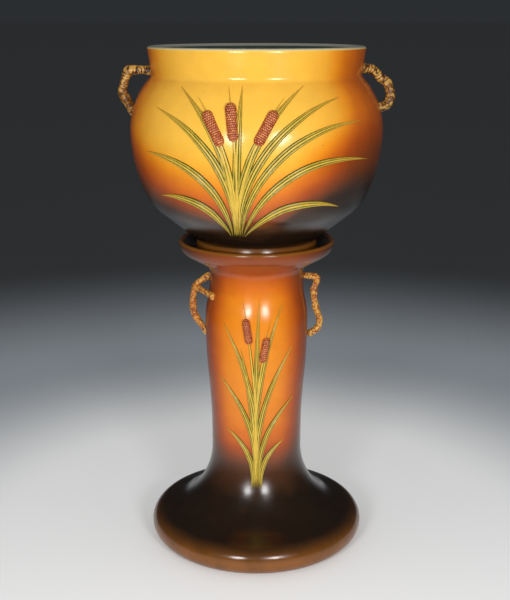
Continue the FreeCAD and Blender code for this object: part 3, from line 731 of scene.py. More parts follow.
# A twig's centre line. The first number runs from 0 at the collar or neck to 1 at the handle's
# outermost point, and the second from 0 at the lower root to 1 at the upper root.
BOWL_TWIG_LEFT = [
    (-0.12, 0.96), (0.62, 0.97), (0.80, 0.90), (1.00, 0.46), (0.88, 0.24), (0.66, -0.02), (0.45, -0.14),
]
BOWL_TWIG_RIGHT = [
    (-0.12, 1.03), (0.30, 0.98), (0.60, 0.80), (0.88, 0.63), (1.00, 0.33), (0.88, 0.11), (0.50, 0.00),
]
PEDESTAL_TWIG_LEFT = [
    (-0.15, 1.00), (0.20, 0.97), (0.84, 0.80), (1.00, 0.46), (0.84, 0.24), (0.24, -0.01), (0.00, -0.06),
]
PEDESTAL_TWIG_RIGHT = [
    (-0.15, 1.00), (0.77, 0.96), (0.63, 0.72), (0.76, 0.42), (1.00, 0.18), (0.87, 0.03), (0.30, -0.10),
]
PRONG_FROM = 2  # the point of the pedestal's left twig where a prong leaves it
PRONG_TURN = math.radians(29)  # how far round the column, towards the front, the prong is rooted
PRONG_DROP = 8 * MM  # how far under that point it is rooted
TWIG_STEP = 0.9 * MM  # spacing of the rings along a twig
TWIG_SIDES = 28  # points round a twig


def twig_points(shares, side, inner, outer, low, high):
    """A twig's centre line, between inner and outer to that side and from low to high."""
    return [
        Vector((side * (inner + (outer - inner) * out), 0, low + (high - low) * up))
        for out, up in shares
    ]


def smoothed(points, step):
    """A smooth line through the points, in even short steps."""
    ends = [2 * points[0] - points[1], *points, 2 * points[-1] - points[-2]]
    line = []
    for a, b, c, d in zip(ends, ends[1:], ends[2:], ends[3:]):
        count = max(2, round((c - b).length / step))
        for i in range(count):
            t = i / count
            square, cube = 2 * a - 5 * b + 4 * c - d, 3 * b - a - 3 * c + d
            line.append(0.5 * (2 * b + (c - a) * t + square * t**2 + cube * t**3))
    line.append(points[-1].copy())
    return line


def frames(line):
    """Along, across and up at each point of a line, without twist."""
    made = []
    across = Vector((0, 1, 0))
    for i in range(len(line)):
        along = (line[min(i + 1, len(line) - 1)] - line[max(i - 1, 0)]).normalized()
        across = (across - along * across.dot(along)).normalized()
        made.append((along, across, along.cross(across)))
    return made


def tube(store, line, radii):
    """Adds a closed tube with rounded ends along line."""
    base = len(store.vertices)
    for point, radius, (_, across, up) in zip(line, radii, frames(line)):
        tip = min(1.0, (min((point - line[0]).length, (point - line[-1]).length) + 0.15 * radius) / radius)
        radius *= math.sqrt(1 - (1 - tip) ** 2)
        for i in range(TWIG_SIDES):
            turn = 2 * math.pi * i / TWIG_SIDES
            store.vertices.append(point + (across * math.cos(turn) + up * math.sin(turn)) * radius)
    join_rings(store, base, len(line), TWIG_SIDES)
    store.faces.append(tuple(range(base, base + TWIG_SIDES)))
    store.faces.append(tuple(range(len(store.vertices) - 1, len(store.vertices) - 1 - TWIG_SIDES, -1)))


def twig_radii(line, points, radius, seed):
    """Thickness along a twig: knuckles at its bends, a spread of clay at its roots, and unevenness."""
    radii = []
    for place in line:
        knuckle = sum(math.exp(-(((place - p).length / (0.85 * radius)) ** 2)) for p in points[1:-1])
        root = sum(math.exp(-(((place - p).length / (1.1 * radius)) ** 2)) for p in (points[0], points[-1]))
        uneven = noise.noise(place * 70 + Vector((seed, 0, 0)))
        radii.append(radius * (0.77 + 0.15 * min(knuckle, 1.0) + 0.30 * root + 0.07 * uneven))
    return radii


def bark(far, turn, pitch, seed):
    """Height of the bark, from 0 in a crack to 1 on a ridge."""
    across = Vector((math.cos(turn), math.sin(turn), 0))
    ring = noise.noise(Vector((across.x * 0.8, across.y * 0.8, far / pitch * 1.25 + seed)))
    patch = noise.noise(Vector((across.x * 1.6 + seed, across.y * 1.6, far / pitch * 0.5)))
    ridge = min(1.0, abs(ring) * 3.6)
    return max(0.0, min(1.0, 0.12 + 0.8 * ridge + 0.5 * patch))


def remeshed(name, store, voxel):
    """One closed skin round what store holds, as numpy vertices, normals and faces."""
    mesh = bpy.data.meshes.new(name)
    mesh.from_pydata([tuple(v) for v in store.vertices], [], store.faces)
    rough = bpy.data.objects.new(name, mesh)
    bpy.context.scene.collection.objects.link(rough)
    skin = rough.modifiers.new("Skin", "REMESH")
    skin.mode = "VOXEL"
    skin.voxel_size = voxel
    ease = rough.modifiers.new("Ease", "SMOOTH")
    ease.factor = 0.5
    ease.iterations = 3
    made = bpy.data.meshes.new_from_object(rough.evaluated_get(bpy.context.evaluated_depsgraph_get()))
    bpy.data.objects.remove(rough)
    count = len(made.vertices)
    places, normals = np.zeros(count * 3, np.float32), np.zeros(count * 3, np.float32)
    made.vertices.foreach_get("co", places)
    made.vertex_normals.foreach_get("vector", normals)
    faces = [tuple(p.vertices) for p in made.polygons]
    return places.reshape(-1, 3), normals.reshape(-1, 3), faces


def make_twig(body, where, lines, radius, sizes, material, seed):
    """A twig handle: tubes along the lines, joined into one skin that carries the bark."""
    name = f"{body}_twig_{where}"
    store = new_store()
    centres, alongs, sides, ups, gone = [], [], [], [], []
    for index, points in enumerate(lines):
        line = smoothed(points, TWIG_STEP)
        tube(store, line, twig_radii(line, points, radius, seed + index))
        far = 0.0
        for i, (point, (along, across, up)) in enumerate(zip(line, frames(line))):
            far += (point - line[i - 1]).length if i else 0.0
            centres.append(point)
            sides.append(across)
            ups.append(up)
            gone.append(far + index * 0.5)
    places, normals, faces = remeshed(name, store, sizes.voxel)
    centres = np.array(centres)
    nearest = np.array([int(np.argmin(((centres - p) ** 2).sum(1))) for p in places])
    crest = []
    for i, near in enumerate(nearest):
        arm = Vector(places[i]) - Vector(centres[near])
        turn = math.atan2(arm.dot(ups[near]), arm.dot(sides[near]))
        crest.append(bark(gone[near], turn, sizes.bark_pitch, seed))
    crest = np.array(crest)
    places = places + normals * ((crest - 0.75) * sizes.bark_depth)[:, None]
    add_mesh(
        name, places, faces, [material], body, [f"{body}_handle_{where}"],
        {"crest": crest, "along": np.zeros(len(crest))},
    )


# ---------------------------------------------------------------- materials

class Finish:
    """A material under construction, with short calls that add nodes and join them."""

    def __init__(self, name, roughness):
        self.material = bpy.data.materials.new(name)
        self.material.use_nodes = True
        self.tree = self.material.node_tree
        self.tree.nodes.clear()
        self.shader = self.add("ShaderNodeBsdfPrincipled")
        self.shader.inputs["Roughness"].default_value = roughness
        output = self.add("ShaderNodeOutputMaterial")
        self.link(self.shader.outputs["BSDF"], output.inputs["Surface"])
        self.place = self.add("ShaderNodeTexCoord").outputs["Object"]
        parts = self.add("ShaderNodeSeparateXYZ")
        self.link(self.place, parts.inputs[0])
        self.x, self.y, self.z = parts.outputs

    def add(self, kind, **settings):
        node = self.tree.nodes.new(kind)
        for key, value in settings.items():
            setattr(node, key, value)
        return node

    def link(self, source, target):
        self.tree.links.new(source, target)

    def feed(self, socket, value):
        if isinstance(value, bpy.types.NodeSocket):
            self.link(value, socket)
        else:
            socket.default_value = value

    def math(self, operation, first, second=0.0, third=0.0):
        node = self.add("ShaderNodeMath", operation=operation)
        for socket, value in zip(node.inputs, (first, second, third)):
            self.feed(socket, value)
        return node.outputs[0]

    def spread(self, value, low, high, to_low=0.0, to_high=1.0):
        """Maps low..high to to_low..to_high and holds it there."""
        node = self.add("ShaderNodeMapRange")
        for socket, number in zip(node.inputs, (value, low, high, to_low, to_high)):
            self.feed(socket, number)
        return node.outputs[0]

    def noise(self, scale, detail=3.0, stretch=(1.0, 1.0, 1.0)):
        mapping = self.add("ShaderNodeMapping")
        self.link(self.place, mapping.inputs["Vector"])
        mapping.inputs["Scale"].default_value = stretch
        node = self.add("ShaderNodeTexNoise")
        self.link(mapping.outputs[0], node.inputs["Vector"])
        node.inputs["Scale"].default_value = scale
        node.inputs["Detail"].default_value = detail
        return node.outputs["Fac"]

    def swing(self, value, amount):
        """Noise as a swing of amount to both sides of zero."""
        return self.math("MULTIPLY", self.math("SUBTRACT", value, 0.5), 2 * amount)

    def ramp(self, value, stops, kind="EASE"):
        """stops are (place, number or colour)."""
        node = self.add("ShaderNodeValToRGB")
        self.feed(node.inputs[0], value)
        scale = node.color_ramp
        scale.interpolation = kind
        while len(scale.elements) < len(stops):
            scale.elements.new(0.5)
        for element, (place, _) in zip(scale.elements, stops):
            element.position = place
        for element, (_, shade) in zip(scale.elements, stops):
            element.color = (shade,) * 3 + (1.0,) if isinstance(shade, (int, float)) else (*shade, 1.0)
        return node.outputs[0]

    def mix(self, factor, first, second, blend="MIX"):
        node = self.add("ShaderNodeMix", data_type="RGBA", blend_type=blend)
        self.feed(node.inputs[0], factor)
        for socket, shade in ((node.inputs[6], first), (node.inputs[7], second)):
            self.feed(socket, shade if isinstance(shade, bpy.types.NodeSocket) else (*shade, 1.0))
        return node.outputs[2]

    def attribute(self, name):
        return self.add("ShaderNodeAttribute", attribute_name=name).outputs["Fac"]

    def bump(self, value, distance, before=None):
        node = self.add("ShaderNodeBump")
        node.inputs["Strength"].default_value = 1.0
        node.inputs["Distance"].default_value = distance
        self.link(value, node.inputs["Height"])
        if before:
            self.link(before, node.inputs["Normal"])
        return node.outputs[0]

    def end(self, shade, rough=None, normal=None):
        self.link(shade, self.shader.inputs["Base Color"])
        if rough:
            self.link(rough, self.shader.inputs["Roughness"])
        if normal:
            self.link(normal, self.shader.inputs["Normal"])
        return self.material


def glaze_surface(finish, rough_low, rough_high):
    """Roughness and bump of a fired glaze: soft waviness, fine orange peel and worn patches."""
    rough = finish.spread(finish.noise(38, 4), 0.3, 0.7, rough_low, rough_high)
    wave = finish.bump(finish.noise(26, 2), 0.35 * MM)
    peel = finish.bump(finish.noise(420, 3), 0.035 * MM, wave)
    return rough, peel


def mottled(finish, shade, amount):
    """Cloudy and fine variation of a glaze's colour, with a few darker specks."""
    cloud = finish.spread(finish.noise(45, 5), 0.25, 0.75, 1 - amount, 1 + amount)
    grain = finish.spread(finish.noise(900, 2), 0.25, 0.75, 1 - 0.6 * amount, 1 + 0.6 * amount)
    both = finish.math("MULTIPLY", cloud, grain)
    grey = finish.add("ShaderNodeCombineColor")
    for socket in grey.inputs:
        finish.link(both, socket)
    shade = finish.mix(1.0, shade, grey.outputs[0], "MULTIPLY")
    cells = finish.add("ShaderNodeTexVoronoi")
    finish.link(finish.place, cells.inputs["Vector"])
    cells.inputs["Scale"].default_value = 75
    speck = finish.spread(cells.outputs["Distance"], 0.03, 0.07, 0.55, 0.0)
    lot = finish.math("FRACT", finish.math("MULTIPLY", cells.outputs["Color"], 7.0))
    chosen = finish.math("GREATER_THAN", lot, 0.8)
    return finish.mix(finish.math("MULTIPLY", speck, chosen), shade, (0.05, 0.025, 0.012))


def side_ramp(finish, stops):
    """A number that changes round the wall, the same at front and back.

    stops give it at angles in degrees, from -90 at the left of the front view to 90 at its right.
    """
    facing = finish.math("MULTIPLY", finish.math("SIGN", finish.y), -1.0)
    across = finish.math("MULTIPLY", finish.x, facing)
    turn = finish.math("ARCTAN2", across, finish.math("ABSOLUTE", finish.y))
    wander = finish.swing(finish.noise(9, 2), 0.025)
    place = finish.math("ADD", finish.math("MULTIPLY_ADD", turn, 1 / math.pi, 0.5), wander)
    return finish.ramp(place, [(at / 180 + 0.5, number) for at, number in stops], "B_SPLINE")


def height_ramp(finish, height, stops):
    """A number that changes with height; stops give it at heights in millimetres."""
    low, high = stops[0][0] * MM, stops[-1][0] * MM
    wander = finish.swing(finish.noise(11, 2), 0.03)
    place = finish.math("ADD", finish.spread(height, low, high), wander)
    return finish.ramp(place, [((at * MM - low) / (high - low), number) for at, number in stops], "LINEAR")


def screened(finish, first, second):
    """Two shares of darkening laid over each other, each partly airbrushed brown and partly painted shade."""
    left = finish.math("MULTIPLY", finish.math("SUBTRACT", 1.0, first), finish.math("SUBTRACT", 1.0, second))
    return finish.math("SUBTRACT", 1.0, left)


def airbrush(finish, glazes, brown_and_shade):
    """Gold through amber and russet to dark brown, as brown_and_shade goes from 0 to 1; that darkening is
    partly airbrushed brown and partly painted shade.
    """
    spotty = finish.math("ADD", brown_and_shade, finish.swing(finish.noise(60, 4), 0.02))
    names = ("gold", "honey", "amber", "orange", "russet", "chestnut", "walnut", "umber")
    places = (0.0, 0.25, 0.42, 0.55, 0.68, 0.79, 0.90, 1.0)
    return finish.ramp(spotty, [(p, getattr(glazes, n)) for p, n in zip(places, names)], "LINEAR")


SAG = 100 * MM  # how far down the sides the dark of the bowl's underside climbs, at most; that dark is partly brown airbrushing and partly painted shade


def bowl_glaze(glazes, sizes, lift):
    finish = Finish("bowl_glaze", 0.3)
    at = bowl_layout(sizes)
    # Darker towards the left and right sides: partly russet airbrushing, partly painted shade where the
    # lamps' light falls off round the wall.
    sides = side_ramp(finish, [
        (-90, 0.66), (-76, 0.58), (-65, 0.41), (-55, 0.22), (-45, 0.05), (-30, 0.0),
        (14, 0.0), (27, 0.08), (36, 0.26), (43, 0.41), (50, 0.53), (62, 0.59), (90, 0.66),
    ])
    # Darker towards the bottom, higher on the right: partly dark brown airbrushing, partly painted shade on
    # the downward-facing underside.
    sag = side_ramp(finish, [
        (-90, 0.40), (-45, 0.25), (-30, 0.17), (0, 0.0), (14, 0.16), (21, 0.30), (34, 0.48), (44, 0.53),
        (55, 0.57), (70, 0.54), (90, 0.40),
    ])
    height = finish.math("MULTIPLY_ADD", sag, -SAG, finish.z)
    foot = height_ramp(finish, height, [
        (470, 1.0), (495, 0.95), (505, 0.82), (515, 0.72), (535, 0.56), (553, 0.45), (575, 0.25),
        (590, 0.08), (604, 0.0),
    ])
    brown_and_shade = screened(finish, sides, foot)
    shade = mottled(finish, airbrush(finish, glazes, brown_and_shade), 0.05)
    edge = finish.spread(finish.z, lift + at.lip_z + 0.2 * MM, lift + at.lip_z + 1.4 * MM)
    top = finish.spread(finish.z, lift + at.lip_z + 1.6 * MM, lift + at.lip_z + 2.8 * MM)
    y_squared = finish.math("POWER", finish.y, 2.0)
    reach = finish.math("SQRT", finish.math("MULTIPLY_ADD", finish.x, finish.x, y_squared))
    inner = finish.spread(reach, at.lip_x - sizes.wall / 2 + 0.3 * MM, at.lip_x - sizes.wall / 2 - 0.7 * MM)
    high = finish.spread(finish.z, lift + at.lip_z - 0.6 * MM, lift + at.lip_z - 0.2 * MM)
    top = finish.math("MAXIMUM", top, finish.math("MULTIPLY", inner, high))
    shade = finish.mix(top, finish.mix(edge, shade, glazes.cream), glazes.slip)
    # The foot ring's top 5 mm fades from the underside's dark brown into the band colour: partly dark glaze,
    # partly painted shade under the belly's overhang.
    ring = finish.spread(finish.z, lift + sizes.foot_height + 0.5 * MM, lift + sizes.foot_height - 5.0 * MM)
    shade = finish.mix(ring, shade, glazes.band)
    rough, normal = glaze_surface(finish, 0.15, 0.24)
    return finish.end(shade, rough, normal)


def lining_glaze(glazes):
    finish = Finish("lining_glaze", 0.16)
    tone = finish.spread(finish.noise(30, 4), 0.35, 0.75, 0.0, 0.35)
    shade = finish.mix(tone, glazes.lining, glazes.umber)
    rough, normal = glaze_surface(finish, 0.10, 0.2)
    return finish.end(mottled(finish, shade, 0.08), rough, normal)


def bare_clay(glazes):
    finish = Finish("bare_clay", 0.9)
    grains = finish.noise(700, 4)
    shade = finish.mix(finish.spread(grains, 0.3, 0.7, 0.0, 0.45), glazes.clay, glazes.chestnut)
    rough = finish.spread(finish.noise(120, 3), 0.3, 0.7, 0.8, 1.0)
    return finish.end(shade, rough, finish.bump(grains, 0.12 * MM))


def pedestal_glaze(glazes, sizes, at):
    finish = Finish("pedestal_glaze", 0.3)
    # Darker towards the left and right sides: partly russet airbrushing, partly painted shade where the
    # lamps' light falls off round the column.
    sides = side_ramp(finish, [
        (-90, 0.58), (-66, 0.52), (-52, 0.32), (-42, 0.14), (-34, 0.04), (-20, 0.0),
        (20, 0.0), (30, 0.04), (40, 0.18), (52, 0.40), (66, 0.54), (90, 0.58),
    ])
    height = height_ramp(finish, finish.z, [
        (40, 1.0), (80, 1.0), (105, 0.93), (130, 0.87), (150, 0.74), (170, 0.60), (200, 0.50), (235, 0.46),
        (300, 0.44), (385, 0.46), (415, 0.60), (430, 0.68), (450, 0.76), (462, 0.78),
    ])
    shade = airbrush(finish, glazes, screened(finish, sides, height))
    edge = finish.spread(finish.z, at.roll_z + 1.0 * MM, sizes.base_roll)
    soft = finish.math("MULTIPLY", edge, finish.spread(finish.noise(35, 4), 0.2, 0.6, 0.6, 1.0))
    shade = finish.mix(soft, shade, glazes.band)
    lip = finish.spread(finish.z, at.rim_low - 1.2 * MM, at.rim_low + 0.6 * MM)
    shade = mottled(finish, finish.mix(lip, shade, glazes.band), 0.05)
    rough, normal = glaze_surface(finish, 0.16, 0.26)
    return finish.end(shade, rough, normal)


def dish_glaze(glazes):
    finish = Finish("dish_glaze", 0.2)
    shade = finish.mix(finish.noise(28, 4), glazes.umber, glazes.walnut)
    rough, normal = glaze_surface(finish, 0.14, 0.26)
    return finish.end(mottled(finish, shade, 0.08), rough, normal)


def rush_glaze(glazes):
    finish = Finish("rush_glaze", 0.34)
    crest = finish.attribute("crest")
    along = finish.attribute("along")
    streaks = finish.swing(finish.noise(260, 3, (1.0, 1.0, 0.35)), 0.16)
    tone = finish.math("ADD", crest, streaks)
    shade = finish.ramp(tone, [
        (0.0, glazes.moss), (0.22, glazes.moss), (0.50, glazes.leaf),
        (0.86, glazes.straw), (1.0, glazes.straw),
    ], "LINEAR")
    tip = finish.spread(along, 0.72, 1.0, 0.0, 0.35)
    shade = finish.mix(tip, shade, glazes.honey)
    rough, normal = glaze_surface(finish, 0.26, 0.42)
    return finish.end(mottled(finish, shade, 0.10), rough, normal)


def head_glaze(glazes):
    finish = Finish("head_glaze", 0.42)
    # Lighter grain crests and darker hollows: partly a two-tone glaze, partly a painted highlight on the
    # crests.
    tone = finish.math("ADD", finish.attribute("crest"), finish.swing(finish.noise(140, 4), 0.22))
    stops = [(0.0, glazes.seed_dark), (0.25, glazes.seed_dark), (0.8, glazes.seed_light)]
    shade = finish.ramp(tone, stops, "LINEAR")
    rough, normal = glaze_surface(finish, 0.34, 0.5)
    return finish.end(mottled(finish, shade, 0.12), rough, normal)


def bark_glaze(name, dark, warm, light):
    finish = Finish(name, 0.4)
    tone = finish.math("ADD", finish.attribute("crest"), finish.swing(finish.noise(170, 4), 0.12))
    shade = finish.ramp(tone, [(0.0, dark), (0.28, dark), (0.56, warm), (1.0, light)], "LINEAR")
    patch = finish.spread(finish.noise(40, 3), 0.42, 0.62, 0.0, 0.45)
    shade = finish.mix(patch, shade, warm)
    rough, normal = glaze_surface(finish, 0.26, 0.44)
    return finish.end(mottled(finish, shade, 0.10), rough, normal)


def seen_directly(tree):
    """1 for light that goes straight, or over a mirror or glass, to the camera, and otherwise 0."""
    path = tree.nodes.new("ShaderNodeLightPath")
    value = path.outputs["Is Camera Ray"]
    for name in ("Is Glossy Ray", "Is Transmission Ray"):
        larger = tree.nodes.new("ShaderNodeMath")
        larger.operation = "MAXIMUM"
        tree.links.new(value, larger.inputs[0])
        tree.links.new(path.outputs[name], larger.inputs[1])
        value = larger.outputs[0]
    return value


PAPER_NEAR = 0.4  # how far from the axis the painted pool of light on the floor's paper starts to fade, in metres
PAPER_FAR = 10.0  # how far from it the paper's colours end
LOG_BASE = 10.0


def floor_paper(stage):
    """Paper that is pale round the object and graduated to dark grey far off: a painted pool of light round
    the object, with painted fall-off of light further away.
    """
    finish = Finish("floor_paper", 0.85)
    away = finish.add("ShaderNodeVectorMath", operation="LENGTH")
    finish.link(finish.place, away.inputs[0])
    log_out = finish.math("LOGARITHM", finish.math("MAXIMUM", away.outputs["Value"], 0.1), LOG_BASE)
    shade = finish.ramp(finish.spread(log_out, math.log10(PAPER_NEAR), math.log10(PAPER_FAR)), [
        (0.0, stage.floor_near), (0.0, stage.floor_near), (0.25, stage.floor_middle), (0.48, stage.floor_far),
        (1.0, stage.floor_far),
    ])
    finish.shader.inputs["Specular IOR Level"].default_value = 0.2
    finish.link(shade, finish.shader.inputs["Emission Color"])
    lift = finish.math("MULTIPLY", seen_directly(finish.tree), stage.floor_lift)
    finish.link(lift, finish.shader.inputs["Emission Strength"])
    return finish.end(shade)


def kept(name, make, *given):
    """The material of that name, made on its first use."""
    return bpy.data.materials.get(name) or make(*given)


# ---------------------------------------------------------------- operators

def deck_height(scene):
    return pedestal_layout(scene.jardiniere_pedestal, scene.jardiniere_bowl.foot_radius).deck_z


def bowl_wall(scene):
    sizes = scene.jardiniere_bowl
    return Wall(bowl_outlines(sizes)[1], sizes.foot_height, deck_height(scene))


def pedestal_wall(scene):
    sizes = scene.jardiniere_pedestal
    outside = pedestal_outlines(sizes, scene.jardiniere_bowl.foot_radius)[0]
    return Wall(outside, sizes.base_roll, 0.0)


class JARDINIERE_OT_bowl(bpy.types.Operator):
    """Turn the bowl and glaze it"""

    bl_idname = "jardiniere.bowl"
    bl_label = "Bowl"

    def execute(self, context):
        scene = context.scene
        sizes, glazes, lift = scene.jardiniere_bowl, scene.jardiniere_glazes, deck_height(scene)
        foot, outside, inside = (traced(part) for part in bowl_outlines(sizes))
        materials = [bare_clay(glazes), bowl_glaze(glazes, sizes, lift), lining_glaze(glazes)]
        wobble = hand_wobble(0.18 * MM, 14, 3.0)
        made = turned([(foot, 0), (outside, 1), (inside, 2)], BOWL_SEGMENTS, lift, wobble)
        add_mesh(
            "jardiniere_bowl_body", made[0], made[1], materials, "jardiniere", ["jardiniere_bowl"],
            face_materials=made[2],
        )
        return {"FINISHED"}


class JARDINIERE_OT_pedestal(bpy.types.Operator):
    """Turn the pedestal and glaze it"""

    bl_idname = "jardiniere.pedestal"
    bl_label = "Pedestal"

    def execute(self, context):
        scene = context.scene
        sizes, glazes = scene.jardiniere_pedestal, scene.jardiniere_glazes
        foot = scene.jardiniere_bowl.foot_radius
        outside, dish, hollow = (traced(part) for part in pedestal_outlines(sizes, foot))
        at = pedestal_layout(sizes, foot)
        clay = kept("bare_clay", bare_clay, glazes)
        materials = [pedestal_glaze(glazes, sizes, at), dish_glaze(glazes), clay]
        wobble = hand_wobble(0.15 * MM, 12, 8.0)
        made = turned([(outside, 0), (dish, 1), (hollow, 2)], PEDESTAL_SEGMENTS, 0.0, wobble)
        add_mesh(
            "pedestal_body", made[0], made[1], materials, "pedestal", ["pedestal_column"],
            face_materials=made[2],
        )
        return {"FINISHED"}


class JARDINIERE_OT_bowl_handles(bpy.types.Operator):
    """Model the two twig handles of the bowl"""

    bl_idname = "jardiniere.bowl_handles"
    bl_label = "Bowl handles"

    def execute(self, context):
        scene = context.scene
        twigs, bowl, lift = scene.jardiniere_twigs, scene.jardiniere_bowl, deck_height(scene)
        at = bowl_layout(bowl)
        reach = (
            at.shoulder_x, bowl.belly_radius + twigs.bowl_stand - twigs.bowl_radius,
            lift + at.belly_z + twigs.bowl_low, lift + at.shoulder_z + twigs.bowl_rise,
        )
        glazes = scene.jardiniere_glazes
        bark_coat = bark_glaze("bark_on_bowl", glazes.bark_dark, glazes.bark_warm, glazes.bark_light)
        left = twig_points(BOWL_TWIG_LEFT, LEFT, *reach)
        right = twig_points(BOWL_TWIG_RIGHT, RIGHT, *reach)
        for where, line, seed in (("left", left, 2.0), ("right", right, 9.0)):
            make_twig("jardiniere", where, [line], twigs.bowl_radius, twigs, bark_coat, seed)
        return {"FINISHED"}


class JARDINIERE_OT_pedestal_handles(bpy.types.Operator):
    """Model the two twig handles of the pedestal"""

    bl_idname = "jardiniere.pedestal_handles"
    bl_label = "Pedestal handles"

    def execute(self, context):
        scene = context.scene
        twigs, sizes = scene.jardiniere_twigs, scene.jardiniere_pedestal
        at = pedestal_layout(sizes, scene.jardiniere_bowl.foot_radius)
        reach = (
            at.collar_x, at.column_x + twigs.pedestal_stand - twigs.pedestal_radius,
            at.column_z - twigs.pedestal_low, at.collar_z + twigs.pedestal_rise,
        )
        glazes = scene.jardiniere_glazes
        bark_coat = bark_glaze("bark_on_pedestal", glazes.chestnut, glazes.bark_orange, glazes.bark_light)
        left = twig_points(PEDESTAL_TWIG_LEFT, LEFT, *reach)
        fork = left[PRONG_FROM]
        root = Vector((-math.cos(PRONG_TURN), -math.sin(PRONG_TURN), 0)) * at.collar_x
        root.z = fork.z - PRONG_DROP
        right = twig_points(PEDESTAL_TWIG_RIGHT, RIGHT, *reach)
        for where, lines, seed in (("left", [left, [fork, root]], 5.0), ("right", [right], 13.0)):
            make_twig("pedestal", where, lines, twigs.pedestal_radius, twigs, bark_coat, seed)
        return {"FINISHED"}


def add_spray(scene, body, wall, across, low, high, blades, stems, widths, head):
    """The blades, stems and heads of one spray, front and back, in heights that vary a little."""
    relief = scene.jardiniere_relief
    reeds, heads = new_store(), new_store()
    across_blade, across_stem = mirrored(BLADE_ACROSS), mirrored(STEM_ACROSS)
    for index, leaf in enumerate(placed(blades, across, low, high)):
        raised = relief.relief * (BLADE_RELIEF + BLADE_VARIETY * (index * 7 % 5) / 4)
        add_leaf(reeds, wall, *leaf, widths[0], raised, blade_profile, across_blade, index + 0.5)
    for index, stem in enumerate(placed(stems, across, low, high)):
        raised = relief.relief * STEM_RELIEF
        add_leaf(reeds, wall, *stem, widths[1], raised, stem_profile, across_stem, index + 20.5)
        add_head(heads, wall, stem, *head, relief, index * 3.7)
    glazes = scene.jardiniere_glazes
    both_sides(reeds, body, "reeds", kept("rush_glaze", rush_glaze, glazes))
    both_sides(heads, body, "heads", kept("head_glaze", head_glaze, glazes))


class JARDINIERE_OT_bowl_spray(bpy.types.Operator):
    """Raise the rush sprays on the bowl"""

    bl_idname = "jardiniere.bowl_spray"
    bl_label = "Bowl sprays"

    def execute(self, context):
        scene = context.scene
        bowl, relief, lift = scene.jardiniere_bowl, scene.jardiniere_relief, deck_height(scene)
        at = bowl_layout(bowl)
        add_spray(
            scene, "jardiniere", bowl_wall(scene), bowl.belly_radius,
            lift + bowl.foot_height, lift + at.shoulder_z, BOWL_BLADES, BOWL_STEMS,
            (relief.bowl_blade, relief.bowl_stem), (relief.bowl_head, relief.bowl_head_length),
        )
        return {"FINISHED"}


class JARDINIERE_OT_pedestal_spray(bpy.types.Operator):
    """Raise the rush sprays on the pedestal"""

    bl_idname = "jardiniere.pedestal_spray"
    bl_label = "Pedestal sprays"

    def execute(self, context):
        scene = context.scene
        sizes, relief = scene.jardiniere_pedestal, scene.jardiniere_relief
        at = pedestal_layout(sizes, scene.jardiniere_bowl.foot_radius)
        add_spray(
            scene, "pedestal", pedestal_wall(scene), sizes.waist_radius, at.flare_z, at.collar_z,
            PEDESTAL_BLADES, PEDESTAL_STEMS, (relief.pedestal_blade, relief.pedestal_stem),
            (relief.pedestal_head, relief.pedestal_head_length),
        )
        return {"FINISHED"}


FLOOR_REACH = 200.0  # half the floor's width, in metres
LAMP_AIM = Vector((0, 0, 0.45))  # the place on the axis that the lamps point at


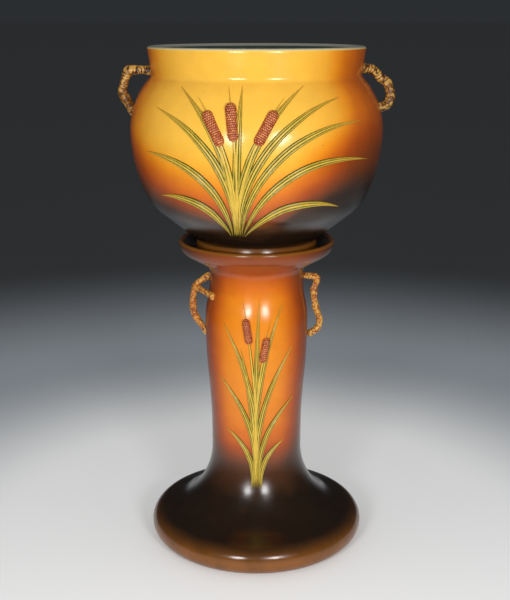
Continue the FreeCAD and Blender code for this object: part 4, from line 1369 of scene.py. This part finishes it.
class JARDINIERE_OT_stage(bpy.types.Operator):
    """Set up the floor, the lamps and the camera"""

    bl_idname = "jardiniere.stage"
    bl_label = "Stage"

    def execute(self, context):
        scene, stage = context.scene, context.scene.jardiniere_stage
        self.floor(scene, stage)
        for side in (LEFT, RIGHT):
            self.lamp(scene, stage, side)
        self.surround(scene, stage)
        self.camera(scene, stage)
        scene.view_settings.view_transform = "Standard"
        return {"FINISHED"}

    def floor(self, scene, stage):
        signs = ((-1, -1), (1, -1), (1, 1), (-1, 1))
        mesh = bpy.data.meshes.new("floor")
        mesh.from_pydata([(x * FLOOR_REACH, y * FLOOR_REACH, 0) for x, y in signs], [], [(0, 1, 2, 3)])
        mesh.materials.append(floor_paper(stage))
        floor = bpy.data.objects.new("floor", mesh)
        scene.collection.objects.link(floor)

    def lamp(self, scene, stage, side):
        light = bpy.data.lights.new("studio_lamp", "AREA")
        light.shape = "DISK"
        light.size = stage.lamp_size
        light.energy = stage.lamp_power
        lamp = bpy.data.objects.new("studio_lamp", light)
        turn = stage.lamp_turn * side
        lamp.location = (
            stage.lamp_distance * math.sin(turn), -stage.lamp_distance * math.cos(turn), stage.lamp_height,
        )
        aim = LAMP_AIM - lamp.location
        lamp.rotation_mode = "QUATERNION"
        lamp.rotation_quaternion = aim.to_track_quat("-Z", "Y")
        lamp.visible_camera = False
        scene.collection.objects.link(lamp)

    def surround(self, scene, stage):
        world = bpy.data.worlds.new("soft_surround")
        scene.world = world
        world.use_nodes = True
        tree = world.node_tree
        fill = tree.nodes["Background"]
        fill.inputs["Color"].default_value = (1.0, 1.0, 1.0, 1.0)
        fill.inputs["Strength"].default_value = stage.fill
        backdrop = tree.nodes.new("ShaderNodeBackground")
        backdrop.inputs["Color"].default_value = (*stage.floor_far, 1.0)
        backdrop.inputs["Strength"].default_value = stage.fill + stage.floor_lift
        either = tree.nodes.new("ShaderNodeMixShader")
        tree.links.new(seen_directly(tree), either.inputs[0])
        tree.links.new(fill.outputs[0], either.inputs[1])
        tree.links.new(backdrop.outputs[0], either.inputs[2])
        tree.links.new(either.outputs[0], tree.nodes["World Output"].inputs["Surface"])

    def camera(self, scene, stage):
        data = bpy.data.cameras.new("camera")
        data.sensor_fit = "AUTO"
        data.sensor_width = 36.0
        data.lens = data.sensor_width * stage.focal_share
        data.clip_start, data.clip_end = 0.05, 400.0
        camera = bpy.data.objects.new("camera", data)
        camera.location = (-stage.camera_side, -stage.camera_distance, stage.camera_height)
        camera.rotation_euler = (math.pi / 2 - stage.camera_pitch, 0, 0)
        scene.collection.objects.link(camera)
        scene.camera = camera


class JARDINIERE_PT_sidebar(bpy.types.Panel):
    """The steps that build the set, in order."""

    bl_label = "Jardiniere"
    bl_idname = "JARDINIERE_PT_sidebar"
    bl_space_type = "VIEW_3D"
    bl_region_type = "UI"
    bl_category = "Jardiniere"

    def draw(self, context):
        for operator in OPERATORS:
            self.layout.operator(operator.bl_idname)


OPERATORS = (
    JARDINIERE_OT_stage,
    JARDINIERE_OT_pedestal,
    JARDINIERE_OT_bowl,
    JARDINIERE_OT_pedestal_handles,
    JARDINIERE_OT_bowl_handles,
    JARDINIERE_OT_pedestal_spray,
    JARDINIERE_OT_bowl_spray,
)


def register():
    for group in GROUPS.values():
        bpy.utils.register_class(group)
    for name, group in GROUPS.items():
        setattr(bpy.types.Scene, name, bpy.props.PointerProperty(type=group))
    for item in (*OPERATORS, JARDINIERE_PT_sidebar):
        bpy.utils.register_class(item)


def unregister():
    for item in (JARDINIERE_PT_sidebar, *reversed(OPERATORS)):
        bpy.utils.unregister_class(item)
    for name in GROUPS:
        delattr(bpy.types.Scene, name)
    for group in reversed(GROUPS.values()):
        bpy.utils.unregister_class(group)


def main():
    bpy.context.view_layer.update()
    register()
    for operator in OPERATORS:
        group, name = operator.bl_idname.split(".")
        getattr(getattr(bpy.ops, group), name)()


if __name__ == "__main__":
    main()
